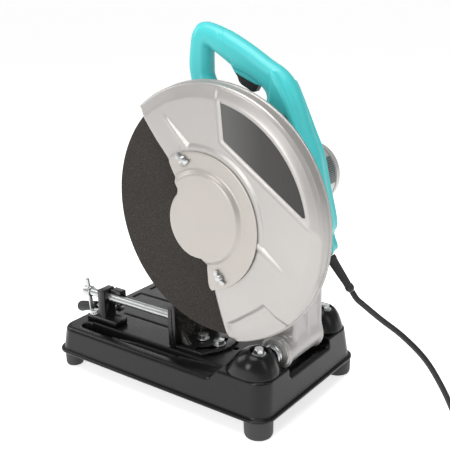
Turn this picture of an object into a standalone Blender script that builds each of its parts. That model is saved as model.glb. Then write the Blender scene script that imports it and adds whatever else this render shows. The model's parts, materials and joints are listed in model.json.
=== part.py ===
"""Abrasive chop saw: base with quick-release vice, spring-raised arm, geared motor and guard.

Metres, +Z up. X runs across the saw (the wheel and guard are on the +X side), Y runs along
the base (the vice and the handle are towards -Y, the arm's pivot is towards +Y). The origin is on
the floor, under the centre of the machine without its cord.
"""
import math

import bmesh
import bpy
from mathutils import Matrix, Vector

# ---- driving dimensions -------------------------------------------------------------------
GAP = 0.0003                     # clearance between faces that touch on the real machine
RUNNING = 0.00008                # extra bore radius for a shaft that turns in it

BASE_HALF_X = 0.135              # to the edge of the base's lip
BASE_HALF_Y = 0.211
LIP_Z = 0.029                    # underside of the lip, and height of the feet
LIP_T = 0.0055
TABLE_Z = 0.0708
CORNER_R = 0.024
SHEET = 0.0045                   # wall of the base casting
# Feet: name, x, y, radius at the top. The rear pair carries the arm and is larger.
FEET = (("front_right", 0.112, -0.190, 0.0142), ("front_left", -0.112, -0.190, 0.0142),
        ("rear_right", 0.1115, 0.1875, 0.0205), ("rear_left", -0.1115, 0.1875, 0.0205))

PIVOT_Y = 0.177
PIVOT_Z = 0.098
SHAFT_R = 0.008
BARREL_R = 0.024
BARREL_X0 = -0.046                # ends of the arm's barrel
BARREL_X1 = 0.052
CAP_IN = 0.064                   # inner and outer faces of the pivot caps, along X
CAP_OUT = 0.124
CAP_SPLIT_Z = 0.080
CAP_BOLT_X = 0.093

WHEEL_X = 0.098
WHEEL_Y = 0.109
WHEEL_Z = 0.311
WHEEL_R = 0.1775
WHEEL_T = 0.0032
WHEEL_BORE_R = 0.0127
FLANGE_R = 0.038
SPINDLE_R = 0.0075               # where it carries the bearing and the flanges

GUARD_Y = 0.1065
GUARD_R = 0.1865
GUARD_FACE_X = 0.1205
GUARD_BACK_X = 0.0945
GUARD_T = 0.003
COVER_R = 0.097
WINGS = ((0.076, 0.391), (0.134, 0.231))

GEAR_MODULE = 0.0015
GEAR_TEETH = 48
PINION_TEETH = 12
GEAR_X0 = 0.060
GEAR_X1 = 0.074
MOTOR_ANGLE = math.atan2(0.027, 0.036)  # from the spindle towards the armature, in the YZ plane
MOTOR_DIST = GEAR_MODULE * (GEAR_TEETH + PINION_TEETH) / 2
MOTOR_Y = WHEEL_Y + MOTOR_DIST * math.cos(MOTOR_ANGLE)
MOTOR_Z = WHEEL_Z + MOTOR_DIST * math.sin(MOTOR_ANGLE)
MOTOR_R = 0.046
CASE_X0 = 0.0383                 # gear case, and the outer face of its cover
CASE_X1 = 0.080
COVER_X1 = 0.0902
MOTOR_SPLIT_X = -0.090
MOTOR_END_X = -0.112

HANDLE_X = 0.015                 # split plane of the handle's two halves
HANDLE_HALF = 0.025
GRIP_HALF = 0.016

SLOT_X0 = 0.0865
SLOT_X1 = 0.1105
SLOT_Y0 = -0.178
SLOT_Y1 = 0.112

SCREW_X = 0.066
SCREW_Z = 0.116
SCREW_R = 0.0062
T_BAR_Y = -0.195
FENCE_BOLTS = ((0.036, 0.030), (0.038, 0.064))
FENCE_SLOT_R = 0.034
LEVER_X = 0.040
LEVER_Y = -0.1505
LEVER_Z = 0.0860

CORD_R = 0.004
COIL_X = -0.010
COIL_Y = 0.560
COIL_R = 0.046                   # middle of the coil's turns
COIL_H = 0.025

COLLECTION = "chop_saw"


# ---- scene and material helpers -------------------------------------------------------------
def clear_scene():
    for obj in list(bpy.data.objects):
        bpy.data.objects.remove(obj, do_unlink=True)


clear_scene()
parts = bpy.data.collections.new(COLLECTION)
cutters = bpy.data.collections.new("cutters")
bpy.context.scene.collection.children.link(parts)
bpy.context.scene.collection.children.link(cutters)


def material(name, colour, roughness, metallic=0.0):
    mat = bpy.data.materials.new(name)
    mat.use_nodes = True
    shader = mat.node_tree.nodes["Principled BSDF"]
    shader.inputs["Base Color"].default_value = (*colour, 1.0)
    shader.inputs["Roughness"].default_value = roughness
    shader.inputs["Metallic"].default_value = metallic
    return mat


BLACK_PAINT = material("black_paint", (0.012, 0.012, 0.013), 0.35)
RUBBER = material("rubber", (0.03, 0.03, 0.032), 0.7)
SILVER_PAINT = material("silver_paint", (0.62, 0.60, 0.57), 0.42, 0.35)
CAST_ALUMINIUM = material("cast_aluminium", (0.62, 0.61, 0.59), 0.4, 0.6)
ZINC = material("zinc_plate", (0.70, 0.71, 0.72), 0.25, 1.0)
STEEL = material("steel", (0.45, 0.45, 0.46), 0.35, 1.0)
ABRASIVE = material("abrasive", (0.045, 0.038, 0.032), 0.9)
TEAL = material("teal_plastic", (0.06, 0.55, 0.58), 0.35)
BLACK_PLASTIC = material("black_plastic", (0.015, 0.015, 0.016), 0.45)
COPPER = material("copper", (0.60, 0.25, 0.12), 0.4, 1.0)
CORD_MATERIAL = material("cord_rubber", (0.015, 0.015, 0.016), 0.55)


def empty(name, location, parent=None):
    obj = bpy.data.objects.new(name, None)
    obj.empty_display_size = 0.02
    parts.objects.link(obj)
    obj.location = Vector(location)
    if parent is not None:
        obj.parent = parent
        obj.location -= world_of(parent)
    return obj


def world_of(obj):
    place = obj.location.copy()
    while obj.parent is not None:
        obj = obj.parent
        place += obj.location
    return place


def add(name, mesh, mat=None, parent=None):
    """Link a mesh given in world coordinates, with its origin on its parent empty."""
    obj = bpy.data.objects.new(name, mesh)
    parts.objects.link(obj)
    if mat is not None:
        mesh.materials.clear()
        mesh.materials.append(mat)
    if parent is not None:
        mesh.transform(Matrix.Translation(-world_of(parent)))
        obj.parent = parent
    mesh.shade_smooth()
    mesh.set_sharp_from_angle(angle=math.radians(35))
    return obj


def mesh_of(bm, name):
    bmesh.ops.recalc_face_normals(bm, faces=bm.faces)
    mesh = bpy.data.meshes.new(name)
    bm.to_mesh(mesh)
    bm.free()
    return mesh


def cutter(mesh):
    obj = bpy.data.objects.new("cut_" + mesh.name, mesh)
    cutters.objects.link(obj)
    obj.hide_render = True
    obj.display_type = "WIRE"
    return obj


def boolean(obj, mesh, operation):
    """Cut a world-space mesh from an object, or join it to the object."""
    modifier = obj.modifiers.new(operation.lower(), "BOOLEAN")
    modifier.operation = operation
    modifier.solver = "EXACT"
    modifier.object = cutter(mesh)


def cut(obj, *meshes):
    for mesh in meshes:
        boolean(obj, mesh, "DIFFERENCE")


def join(obj, *meshes):
    for mesh in meshes:
        boolean(obj, mesh, "UNION")


# ---- shapes, all returned as closed meshes in world coordinates --------------------------------
AXIS = {
    "X": Matrix(((0, 0, 1, 0), (1, 0, 0, 0), (0, 1, 0, 0), (0, 0, 0, 1))),
    "Y": Matrix(((0, 1, 0, 0), (0, 0, 1, 0), (1, 0, 0, 0), (0, 0, 0, 1))),
    "Z": Matrix.Identity(4),
}


def box(x0, x1, y0, y1, z0, z1, bevel=0.0, segments=1):
    bm = bmesh.new()
    bmesh.ops.create_cube(bm, size=1.0)
    size = Vector((x1 - x0, y1 - y0, z1 - z0))
    bmesh.ops.scale(bm, vec=size, verts=bm.verts)
    bmesh.ops.translate(bm, vec=((x0 + x1) / 2, (y0 + y1) / 2, (z0 + z1) / 2), verts=bm.verts)
    if bevel > 0:
        bmesh.ops.bevel(bm, geom=bm.edges, offset=bevel, segments=segments, affect="EDGES")
    return mesh_of(bm, "box")


def rod(axis, centre, radius, start, end, sides=18, radius_end=None, turn=0.0):
    """Cylinder or cone along an axis; centre gives the other two coordinates in cyclic order."""
    bm = bmesh.new()
    top = radius if radius_end is None else radius_end
    bmesh.ops.create_cone(bm, cap_ends=True, segments=sides, radius1=radius, radius2=top, depth=end - start)
    bmesh.ops.translate(bm, vec=(0, 0, (start + end) / 2), verts=bm.verts)
    bmesh.ops.transform(bm, matrix=Matrix.Rotation(turn, 4, "Z"), verts=bm.verts)
    bmesh.ops.translate(bm, vec=(centre[0], centre[1], 0), verts=bm.verts)
    bmesh.ops.transform(bm, matrix=AXIS[axis], verts=bm.verts)
    return mesh_of(bm, "rod")


def turned(axis, centre, profile, sides=32):
    """Solid of revolution: profile is (radius, place along the axis), from the high end down."""
    mesh = bpy.data.meshes.new("profile")
    points = [(r, 0.0, h) for r, h in profile]
    closed = profile[0][0] > 0
    edges = [(i, i + 1) for i in range(len(points) - 1)]
    if closed:
        edges.append((len(points) - 1, 0))
    mesh.from_pydata(points, edges, [])
    obj = bpy.data.objects.new("turned", mesh)
    bpy.context.scene.collection.objects.link(obj)
    screw = obj.modifiers.new("screw", "SCREW")
    screw.axis = "Z"
    screw.steps = sides
    screw.render_steps = sides
    screw.use_merge_vertices = True
    screw.merge_threshold = 0.00001
    result = evaluated(obj)
    bm = bmesh.new()
    bm.from_mesh(result)
    bmesh.ops.remove_doubles(bm, verts=bm.verts, dist=0.00001)
    bmesh.ops.translate(bm, vec=(centre[0], centre[1], 0), verts=bm.verts)
    bmesh.ops.transform(bm, matrix=AXIS[axis], verts=bm.verts)
    bpy.data.objects.remove(obj, do_unlink=True)
    return mesh_of(bm, "turned")


def evaluated(obj):
    graph = bpy.context.evaluated_depsgraph_get()
    return bpy.data.meshes.new_from_object(obj.evaluated_get(graph))


def plate(axis, outline, start, end, holes=(), bevel=0.0, segments=2):
    """Flat outline, with holes, extruded along an axis."""
    curve = bpy.data.curves.new("outline", "CURVE")
    curve.dimensions = "2D"
    curve.fill_mode = "BOTH"
    curve.extrude = (end - start) / 2
    for points in (outline, *holes):
        spline = curve.splines.new("POLY")
        spline.points.add(len(points) - 1)
        for point, (a, b) in zip(spline.points, points):
            point.co = (a, b, 0.0, 1.0)
        spline.use_cyclic_u = True
    obj = bpy.data.objects.new("outline", curve)
    bpy.context.scene.collection.objects.link(obj)
    flat = evaluated(obj)
    bpy.data.objects.remove(obj, do_unlink=True)
    bm = bmesh.new()
    bm.from_mesh(flat)
    bmesh.ops.remove_doubles(bm, verts=bm.verts, dist=0.000001)
    bmesh.ops.recalc_face_normals(bm, faces=bm.faces)
    bmesh.ops.translate(bm, vec=(0, 0, (start + end) / 2), verts=bm.verts)
    bmesh.ops.transform(bm, matrix=AXIS[axis], verts=bm.verts)
    bmesh.ops.dissolve_limit(bm, angle_limit=math.radians(0.5), verts=bm.verts, edges=bm.edges)
    if bevel > 0:
        along = AXIS[axis].to_3x3() @ Vector((0, 0, 1))
        ends = {f for f in bm.faces if abs(f.normal.dot(along)) > 0.9}
        rims = [e for e in bm.edges if len([f for f in e.link_faces if f in ends]) == 1]
        bmesh.ops.bevel(bm, geom=rims, offset=bevel, segments=segments, affect="EDGES")
    return mesh_of(bm, "plate")


def loft(rings):
    """Closed solid through rings of equal point counts, capped at both ends."""
    bm = bmesh.new()
    loops = [[bm.verts.new(p) for p in ring] for ring in rings]
    count = len(loops[0])
    for low, high in zip(loops, loops[1:]):
        for i in range(count):
            j = (i + 1) % count
            bm.faces.new((low[i], low[j], high[j], high[i]))
    bm.faces.new(loops[0])
    bm.faces.new(loops[-1])
    return mesh_of(bm, "loft")


def arc(cy, cz, radius, start, end, steps):
    """Points on an arc, angles in degrees."""
    points = []
    for i in range(steps + 1):
        angle = math.radians(start + (end - start) * i / steps)
        points.append((cy + radius * math.cos(angle), cz + radius * math.sin(angle)))
    return points


def circle(cy, cz, radius, steps=32):
    return arc(cy, cz, radius, 0, 360 * (steps - 1) / steps, steps - 1)


def rounded_rect(half_x, half_y, radius, steps=5, cx=0.0, cy=0.0):
    points = []
    for i, (sx, sy) in enumerate(((1, 1), (-1, 1), (-1, -1), (1, -1))):
        corner = arc(cx + sx * (half_x - radius), cy + sy * (half_y - radius), radius, 90 * i, 90 * i + 90, steps)
        points += corner
    return points


def hull_of_circles(first, second, steps=14):
    """Outline around two circles given as (y, z, radius)."""
    (y0, z0, r0), (y1, z1, r1) = first, second
    heading = math.degrees(math.atan2(z1 - z0, y1 - y0))
    lean = math.degrees(math.acos((r0 - r1) / math.hypot(y1 - y0, z1 - z0)))
    far = arc(y1, z1, r1, heading - lean, heading + lean, steps)
    near = arc(y0, z0, r0, heading + lean, heading + 360 - lean, steps)
    return far + near


def smooth_path(points, step):
    """Points about one step apart on a smooth curve through the given points."""
    result = [Vector(points[0])]
    ends = [points[0], *points, points[-1]]
    for i in range(1, len(ends) - 2):
        p0, p1, p2, p3 = (Vector(ends[i + k]) for k in (-1, 0, 1, 2))
        count = max(1, round((p2 - p1).length / step))
        for k in range(1, count + 1):
            t = k / count
            a = 2 * p1 + (p2 - p0) * t
            b = (2 * p0 - 5 * p1 + 4 * p2 - p3) * t * t
            c = (3 * p1 - p0 - 3 * p2 + p3) * t ** 3
            result.append((a + b + c) / 2)
    return result


def tube(points, radius, resolution=2):
    curve = bpy.data.curves.new("tube", "CURVE")
    curve.dimensions = "3D"
    curve.bevel_depth = radius
    curve.bevel_resolution = resolution
    curve.use_fill_caps = True
    spline = curve.splines.new("POLY")
    spline.points.add(len(points) - 1)
    for point, place in zip(spline.points, points):
        point.co = (*place, 1.0)
    obj = bpy.data.objects.new("tube", curve)
    bpy.context.scene.collection.objects.link(obj)
    mesh = evaluated(obj)
    bpy.data.objects.remove(obj, do_unlink=True)
    bm = bmesh.new()
    bm.from_mesh(mesh)
    bmesh.ops.remove_doubles(bm, verts=bm.verts, dist=0.000001)
    return mesh_of(bm, "tube")


def hex_bolt(centre, seat_z, head_r, head_h, shank_r, shank_l, washer_r, washer_t):
    """Vertical hexagon bolt with its washer, as one turned and milled piece."""
    x, y = centre
    mesh = rod("Z", centre, head_r, seat_z + washer_t - 0.0002, seat_z + washer_t + head_h, 6)
    washer = rod("Z", centre, washer_r, seat_z, seat_z + washer_t, 18)
    shank = rod("Z", centre, shank_r, seat_z - shank_l, seat_z + 0.0002, 12)
    return mesh, washer, shank


# ---- joints' axes ----------------------------------------------------------------------------
ARM = empty("arm_pivot_axis", (0, PIVOT_Y, PIVOT_Z))
SPINDLE = empty("spindle_axis", (WHEEL_X, WHEEL_Y, WHEEL_Z), ARM)
ARMATURE = empty("armature_axis", (0, MOTOR_Y, MOTOR_Z), ARM)
VICE = empty("vice_slide_axis", (SCREW_X, 0, SCREW_Z))
SCREW = empty("vice_screw_axis", (SCREW_X, T_BAR_Y, SCREW_Z), VICE)
LEVER = empty("release_lever_axis", (LEVER_X, LEVER_Y, LEVER_Z))
TRIGGER = empty("trigger_axis", (HANDLE_X, 0.087, 0.500), ARM)
LOCK = empty("lock_button_axis", (-0.001, 0.062, 0.536), ARM)


def mm(points):
    return [tuple(value * 0.001 for value in point) for point in points]


def about_x(mesh, centre, degrees):
    """Turn a mesh about an X axis through (y, z)."""
    place = Matrix.Translation((0, centre[0], centre[1]))
    mesh.transform(place @ Matrix.Rotation(math.radians(degrees), 4, "X") @ place.inverted())
    return mesh


# ---- base ------------------------------------------------------------------------------------
def base_ring(half_x, half_y, z, steps=4):
    return [(x, y, z) for x, y in rounded_rect(half_x, half_y, 0.022, steps)]


def corner_boss(side):
    rings = []
    for z, front in ((0.056, 0.109), (0.0708, 0.115), (0.0797, 0.1216)):
        half = (0.2003 - front) / 2
        flat = rounded_rect(0.0310, half, 0.010, 3, side * 0.0935, front + half)
        rings.append([(x, y, z) for x, y in flat])
    return loft(rings)


base = add("base_pan", loft((
    base_ring(BASE_HALF_X, BASE_HALF_Y, LIP_Z),
    base_ring(BASE_HALF_X, BASE_HALF_Y, LIP_Z + LIP_T),
    base_ring(0.1305, 0.2065, 0.0375),
    base_ring(0.127, 0.203, 0.0665),
    base_ring(0.1257, 0.2017, 0.0695),
    base_ring(0.124, 0.200, TABLE_Z),
)), BLACK_PAINT)
join(base, corner_boss(1), corner_boss(-1))
cut(base, plate("Z", mm((
    (-96, -198.5), (80.5, -198.5), (80.5, 198.5), (66, 198.5), (66, 140), (-66, 140), (-66, 116),
    (-122.5, 116), (-122.5, -172), (-96, -172))), 0.020, 0.0640))
cut(base, box(-0.0655, 0.0655, 0.139, 0.1985, 0.020, 0.0620))
cut(base, box(0.0800, 0.1225, -0.168, 0.112, 0.020, 0.0440))
cut(base, plate("X", mm(((-166, 50), (-60, 50), (112, 66.5), (112, 90), (-166, 90))), SLOT_X0, SLOT_X1))
cut(base, rod("Z", ((SLOT_X0 + SLOT_X1) / 2, -0.1662), 0.012, 0.050, 0.090, 24))
cut(base, plate("Z", rounded_rect(0.0600, 0.0265, 0.006, 3, 0.0, 0.1700), 0.0665, 0.090))
cut(base, plate("Z", mm((
    (-33, -188.5), (-53.5, -188.5), (-53.5, 110), (-50.5, 110), (-50.5, -185.5), (-33, -185.5))),
    0.0696, 0.080))
cut(base, plate("Z", mm((
    (-78, -187.5), (-98, -187.5), (-98, 90), (-95, 90), (-95, -184.5), (-78, -184.5))), 0.0696, 0.080))
cut(base, box(0.0285, 0.0315, -0.147, -0.030, 0.0696, 0.080))
for sx in (-1, 1):
    cut(base, rod("Z", (sx * CAP_BOLT_X, 0.178), 0.0043, 0.048, 0.09, 16))
for foot_name, foot_x, foot_y, foot_r in FEET:
    cut(base, rod("Z", (foot_x, foot_y), 0.0042, 0.020, 0.046, 16))
for place in FENCE_BOLTS:
    cut(base, rod("Z", place, 0.0052, 0.055, 0.09, 16))
cut(base, rod("Z", (0.028, 0.089), 0.0052, 0.055, 0.09, 16))
cut(base, rod("Z", (0.0755, -0.176), 0.0045, 0.055, 0.09, 16))

for foot_name, foot_x, foot_y, foot_r in FEET:
    add("foot_" + foot_name, turned("Z", (foot_x, foot_y), (
        (0.0, 0.0445), (0.0038, 0.0445), (0.0038, LIP_Z - GAP), (foot_r - 0.0010, LIP_Z - GAP), (foot_r, 0.0265),
        (foot_r - 0.0007, 0.002), (foot_r - 0.0020, 0.0), (0.0055, 0.0), (0.0055, 0.006), (0.0, 0.006)), 20), RUBBER)


# ---- pivot -----------------------------------------------------------------------------------
CAP_PROFILE = mm((
    (122, 80.0), (146, 112.5), (152, 119), (160, 123.3), (172, 124.5), (186, 122.5), (194.5, 116),
    (199.5, 107), (200.3, 98), (200.3, 80.0)))


def cap_ring(x, shrink):
    ring = []
    for y, z in CAP_PROFILE:
        ring.append((x, 0.163 + (y - 0.163) * (1 - shrink), 0.080 + (z - 0.080) * (1 - shrink)))
    return ring


for side, name in ((1, "right"), (-1, "left")):
    cap = add("pivot_cap_" + name, loft([
        cap_ring(side * x, shrink)
        for x, shrink in ((CAP_IN, 0.02), (0.0655, 0.0), (0.114, 0.03), (0.120, 0.07), (0.1235, 0.16))]),
        BLACK_PAINT)
    cut(cap, rod("Z", (side * CAP_BOLT_X, 0.178), 0.0110, 0.1140, 0.130, 24))
    cut(cap, rod("Z", (side * CAP_BOLT_X, 0.178), 0.0044, 0.070, 0.120, 16))
    cut(cap, rod("X", (PIVOT_Y, PIVOT_Z), SHAFT_R + 0.0001, -0.0860 if side < 0 else 0.050,
                 -0.050 if side < 0 else 0.0860, 32))
    head, washer, shank = hex_bolt((side * CAP_BOLT_X, 0.178), 0.1143, 0.0075, 0.0053, 0.0040, 0.0640,
                                   0.0095, 0.0016)
    bolt = add("pivot_cap_bolt_" + name, head, ZINC)
    join(bolt, washer, shank)

add("pivot_shaft", turned("X", (PIVOT_Y, PIVOT_Z), (
    (0.0, 0.0857), (SHAFT_R - 0.001, 0.0857), (SHAFT_R, 0.0847), (SHAFT_R, -0.0847),
    (SHAFT_R - 0.001, -0.0857), (0.0, -0.0857)), 32), STEEL)
add("pivot_washer", turned("X", (PIVOT_Y, PIVOT_Z), (
    (0.0082, 0.0636), (0.0145, 0.0636), (0.0155, 0.0626), (0.0155, 0.0592), (0.0135, 0.0584),
    (0.0135, 0.0576), (0.0155, 0.0568), (0.0155, 0.0525), (0.0082, 0.0525)), 24), ZINC)


def spring_path():
    points = [Vector((-0.0580, PIVOT_Y + 0.013, 0.0690))]
    turns = 3.0
    count = 30
    for i in range(count + 1):
        angle = turns * 2 * math.pi * i / count
        points.append(Vector((-0.0580 + 0.0100 * i / count, PIVOT_Y + 0.013 * math.cos(angle),
                              PIVOT_Z + 0.013 * math.sin(angle))))
    points.append(points[-1] + Vector((0, 0.0, 0.012)))
    return points


add("torsion_spring", tube(spring_path(), 0.0014, 0), STEEL)


# ---- fence and vice --------------------------------------------------------------------------
FENCE_SLOT = (arc(0.036, 0.030, FENCE_SLOT_R + 0.0055, 20, 130, 10)
              + arc(0.036, 0.030, FENCE_SLOT_R - 0.0055, 130, 20, 10))
fence = add("fence", plate("Z", mm(((-24, 6.5), (80.5, 6.5), (77, 34), (78, 60), (61, 74), (32, 83), (4, 77),
                                    (-16, 60), (-22, 34))), TABLE_Z + GAP, 0.0750,
                           (FENCE_SLOT, circle(0.036, 0.030, 0.0052, 16))), BLACK_PAINT)
join(fence, box(-0.030, 0.081, 0.0045, 0.0105, TABLE_Z + GAP + 0.00005, 0.141, 0.0008))
join(fence, plate("X", mm(((8, 73), (28, 73), (28, 76), (11, 96), (8, 96))), 0.062, 0.068))
join(fence, plate("X", mm(((8, 73), (28, 73), (28, 76), (11, 96), (8, 96))), -0.014, -0.008))
for place, name in zip(FENCE_BOLTS, ("front", "rear")):
    head, washer, shank = hex_bolt(place, 0.0752, 0.0092, 0.0064, 0.0048, 0.0210, 0.0105, 0.002)
    bolt = add("fence_bolt_" + name, head, ZINC)
    join(bolt, washer, shank)

bracket = add("screw_bracket", box(0.0530, 0.0815, -0.160, -0.145, 0.0770, 0.1310, 0.002), BLACK_PAINT)
join(bracket, box(0.0545, 0.0835, -0.187, -0.1180, TABLE_Z + GAP, 0.0812, 0.0015))
cut(bracket, rod("Y", (SCREW_Z, SCREW_X), 0.0072, -0.170, -0.130, 24))
cut(bracket, rod("Z", (0.0755, -0.176), 0.0045, 0.060, 0.100, 16))
join(bracket, rod("X", (LEVER_Y, LEVER_Z), 0.0030, 0.0340, 0.0560, 32))
head, washer, shank = hex_bolt((0.0755, -0.176), 0.0814, 0.0075, 0.0053, 0.0040, 0.0240, 0.0078, 0.0016)
bolt = add("bracket_bolt", head, ZINC)
join(bolt, washer, shank)

half_nut = add("half_nut", box(0.0500, 0.0655, -0.1446, -0.1220, 0.1030, 0.1290, 0.0012), BLACK_PAINT)
cut(half_nut, rod("Y", (SCREW_Z, SCREW_X), SCREW_R + 0.0005, -0.160, -0.110, 24))

lever = add("release_lever", tube(smooth_path(mm((
    (40, -154, 86), (40, -162, 84), (40, -188, 79.4), (40, -199, 78.3), (40, -207, 76.5), (40, -222, 72.2))), 0.004), 0.003, 2),
    ZINC, LEVER)
join(lever, rod("X", (LEVER_Y, LEVER_Z), 0.0072, LEVER_X - 0.0035, LEVER_X + 0.0035, 24))
cut(lever, rod("X", (LEVER_Y, LEVER_Z), 0.0030 + RUNNING, LEVER_X - 0.0060, LEVER_X + 0.0060, 32))
GRIP_PITCH = math.degrees(math.atan2(5.5, 19))
grip = turned("Y", (0.0765, LEVER_X), (
    (0.0, -0.2240), (0.0040, -0.2240), (0.0040, -0.2070), (0.0066, -0.2070), (0.0072, -0.2080),
    (0.0095, -0.2480), (0.0085, -0.2510), (0.0, -0.2510)), 20)
add("lever_grip", about_x(grip, (-0.2070, 0.0765), GRIP_PITCH), RUBBER, LEVER)

jaw = add("jaw_plate", box(0.021, 0.081, -0.004, 0.0035, 0.0716, 0.141, 0.0008), BLACK_PAINT, VICE)
block = box(0.0535, 0.0785, -0.020, -0.0030, 0.1020, 0.1300, 0.0015)
lug_high = box(0.0770, 0.0835, -0.0085, -0.0020, 0.1210, 0.1310, 0.0008)
lug_low = box(0.0770, 0.0835, -0.0085, -0.0020, 0.0850, 0.0950, 0.0008)
bore = rod("Y", (SCREW_Z, SCREW_X), SCREW_R + RUNNING, -0.030, -0.0070, 32)
join(jaw, block, lug_high, lug_low)
cut(jaw, bore)
vice_screw = add("vice_screw", turned("Y", (SCREW_Z, SCREW_X), (
    (0.0, -0.0075), (SCREW_R - 0.001, -0.0075), (SCREW_R, -0.0085), (SCREW_R, -0.1870), (0.0088, -0.1878),
    (0.0092, -0.1890), (0.0092, -0.2010), (0.0080, -0.2025), (0.0, -0.2025)), 32), ZINC, SCREW)
t_axis = Vector((0.235, 0.0, 0.972)).normalized()
t_low = Vector((SCREW_X, T_BAR_Y, SCREW_Z)) - 0.0325 * t_axis
t_high = Vector((SCREW_X, T_BAR_Y, SCREW_Z)) + 0.0245 * t_axis
cut(vice_screw, tube([t_low, t_high], 0.0031, 3))
t_bar = add("t_bar", tube([t_low, t_high], 0.0028, 2), ZINC, SCREW)
for end in (t_low, t_high):
    bm = bmesh.new()
    bmesh.ops.create_uvsphere(bm, u_segments=16, v_segments=8, radius=0.0044)
    bmesh.ops.translate(bm, vec=end, verts=bm.verts)
    join(t_bar, mesh_of(bm, "ball"))


# ---- arm and motor ---------------------------------------------------------------------------
arm = add("arm_casting", plate("X", hull_of_circles((MOTOR_Y, MOTOR_Z, 0.052), (WHEEL_Y, WHEEL_Z, 0.024), 11),
                               -0.038, 0.038, bevel=0.002), SILVER_PAINT, ARM)
join(arm, plate("X", mm(((157, 104), (197, 104), (197, 286.5), (141, 286.5), (147, 240), (157, 190))),
                -0.046, 0.031, bevel=0.002))
join(arm, plate("X", mm(((139, 276), (196.5, 276), (196.5, 332), (150, 330), (137, 290))), -0.0375, 0.0305))
join(arm, turned("X", (PIVOT_Y, PIVOT_Z), (
    (0.0, BARREL_X1), (0.0225, BARREL_X1), (BARREL_R, BARREL_X1 - 0.0015), (BARREL_R, 0.0485), (0.0270, 0.0475),
    (0.0270, 0.0420), (BARREL_R, 0.0410), (BARREL_R, -0.0390), (0.0262, -0.0400), (0.0262, -0.0450),
    (0.0252, BARREL_X0), (0.0, BARREL_X0)), 24))
join(arm, box(-0.0455, -0.0110, 0.1920, 0.1985, 0.1200, 0.2600, 0.001))
join(arm, plate("X", mm(((92, 300), (150, 205), (160, 215), (160, 310))), -0.004, 0.004))
cut(arm, rod("X", (PIVOT_Y, PIVOT_Z), SHAFT_R + RUNNING, -0.06, 0.06, 32))
cut(arm, rod("X", (MOTOR_Y, MOTOR_Z), 0.0425, -0.050, 0.010, 40))
cut(arm, rod("X", (MOTOR_Y, MOTOR_Z), 0.0060, 0.005, 0.030, 24))
cut(arm, rod("X", (MOTOR_Y, MOTOR_Z), 0.0111, 0.0275, 0.050, 32))
cut(arm, rod("X", (WHEEL_Y, WHEEL_Z), 0.0131, 0.0275, 0.050, 32))

case_outline = hull_of_circles((WHEEL_Y, WHEEL_Z, 0.046), (MOTOR_Y, MOTOR_Z, 0.022), 11)
case_inside = hull_of_circles((WHEEL_Y, WHEEL_Z, 0.0415), (MOTOR_Y, MOTOR_Z, 0.0160), 11)
case = add("gear_housing", plate("X", case_outline, CASE_X0, CASE_X1, bevel=0.0015), CAST_ALUMINIUM, ARM)
cut(case, plate("X", case_inside, 0.0440, 0.090))
cut(case, rod("X", (WHEEL_Y, WHEEL_Z), 0.0095, 0.030, 0.050, 24))
cut(case, rod("X", (MOTOR_Y, MOTOR_Z), 0.0060, 0.030, 0.050, 24))
button_hole = rod("Z", (0.051, WHEEL_Y), 0.0036, WHEEL_Z + 0.030, WHEEL_Z + 0.060, 24)
cut(case, about_x(button_hole, (WHEEL_Y, WHEEL_Z), 55))
cover = add("gear_cover", plate("X", case_outline, CASE_X1 + GAP, COVER_X1, bevel=0.001), CAST_ALUMINIUM, ARM)
cut(cover, rod("X", (WHEEL_Y, WHEEL_Z), 0.0176, 0.070, 0.0886, 32))
cut(cover, rod("X", (WHEEL_Y, WHEEL_Z), 0.0095, 0.080, 0.095, 32))
button = turned("Z", (0.051, WHEEL_Y), (
    (0.0, WHEEL_Z + 0.0555), (0.0060, WHEEL_Z + 0.0555), (0.0070, WHEEL_Z + 0.0545), (0.0070, WHEEL_Z + 0.0505),
    (0.0035, WHEEL_Z + 0.0495), (0.0035, WHEEL_Z + 0.0390), (0.0, WHEEL_Z + 0.0390)), 16)
add("spindle_lock_button", about_x(button, (WHEEL_Y, WHEEL_Z), 55), BLACK_PLASTIC, ARM)

housing = add("motor_housing", turned("X", (MOTOR_Y, MOTOR_Z), (
    (0.0430, -0.0383), (0.0500, -0.0383), (0.0500, -0.0430), (MOTOR_R, -0.0445), (MOTOR_R, MOTOR_SPLIT_X),
    (0.0430, MOTOR_SPLIT_X)), 32), SILVER_PAINT, ARM)
end_cap = add("motor_end_cap", turned("X", (MOTOR_Y, MOTOR_Z), (
    (0.0, -0.1045), (0.0111, -0.1045), (0.0111, -0.0950), (0.0150, -0.0950), (0.0180, -0.1010), (0.0420, -0.0985),
    (0.0430, MOTOR_SPLIT_X - GAP), (MOTOR_R, MOTOR_SPLIT_X - GAP), (0.0455, -0.0990), (0.0430, -0.1060),
    (0.0380, -0.1105), (0.0300, MOTOR_END_X), (0.0, MOTOR_END_X)), 28), SILVER_PAINT, ARM)
add("stator", turned("X", (MOTOR_Y, MOTOR_Z), (
    (0.0265, -0.006), (0.0415, -0.006), (0.0415, -0.060), (0.0265, -0.060)), 32), STEEL, ARM)
for angle, name in ((35, "upper"), (215, "lower")):
    hole = rod("Z", (-0.074, MOTOR_Y), 0.0062, MOTOR_Z + 0.038, MOTOR_Z + 0.060, 24)
    cut(housing, about_x(hole, (MOTOR_Y, MOTOR_Z), angle))
    knob = turned("Z", (-0.074, MOTOR_Y), (
        (0.0, MOTOR_Z + 0.0485), (0.0048, MOTOR_Z + 0.0485), (0.0060, MOTOR_Z + 0.0475), (0.0060, MOTOR_Z + 0.0300),
        (0.0042, MOTOR_Z + 0.0300), (0.0042, MOTOR_Z + 0.0157), (0.0, MOTOR_Z + 0.0157)), 14)
    add("brush_cap_" + name, about_x(knob, (MOTOR_Y, MOTOR_Z), angle), BLACK_PLASTIC, ARM)


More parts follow.
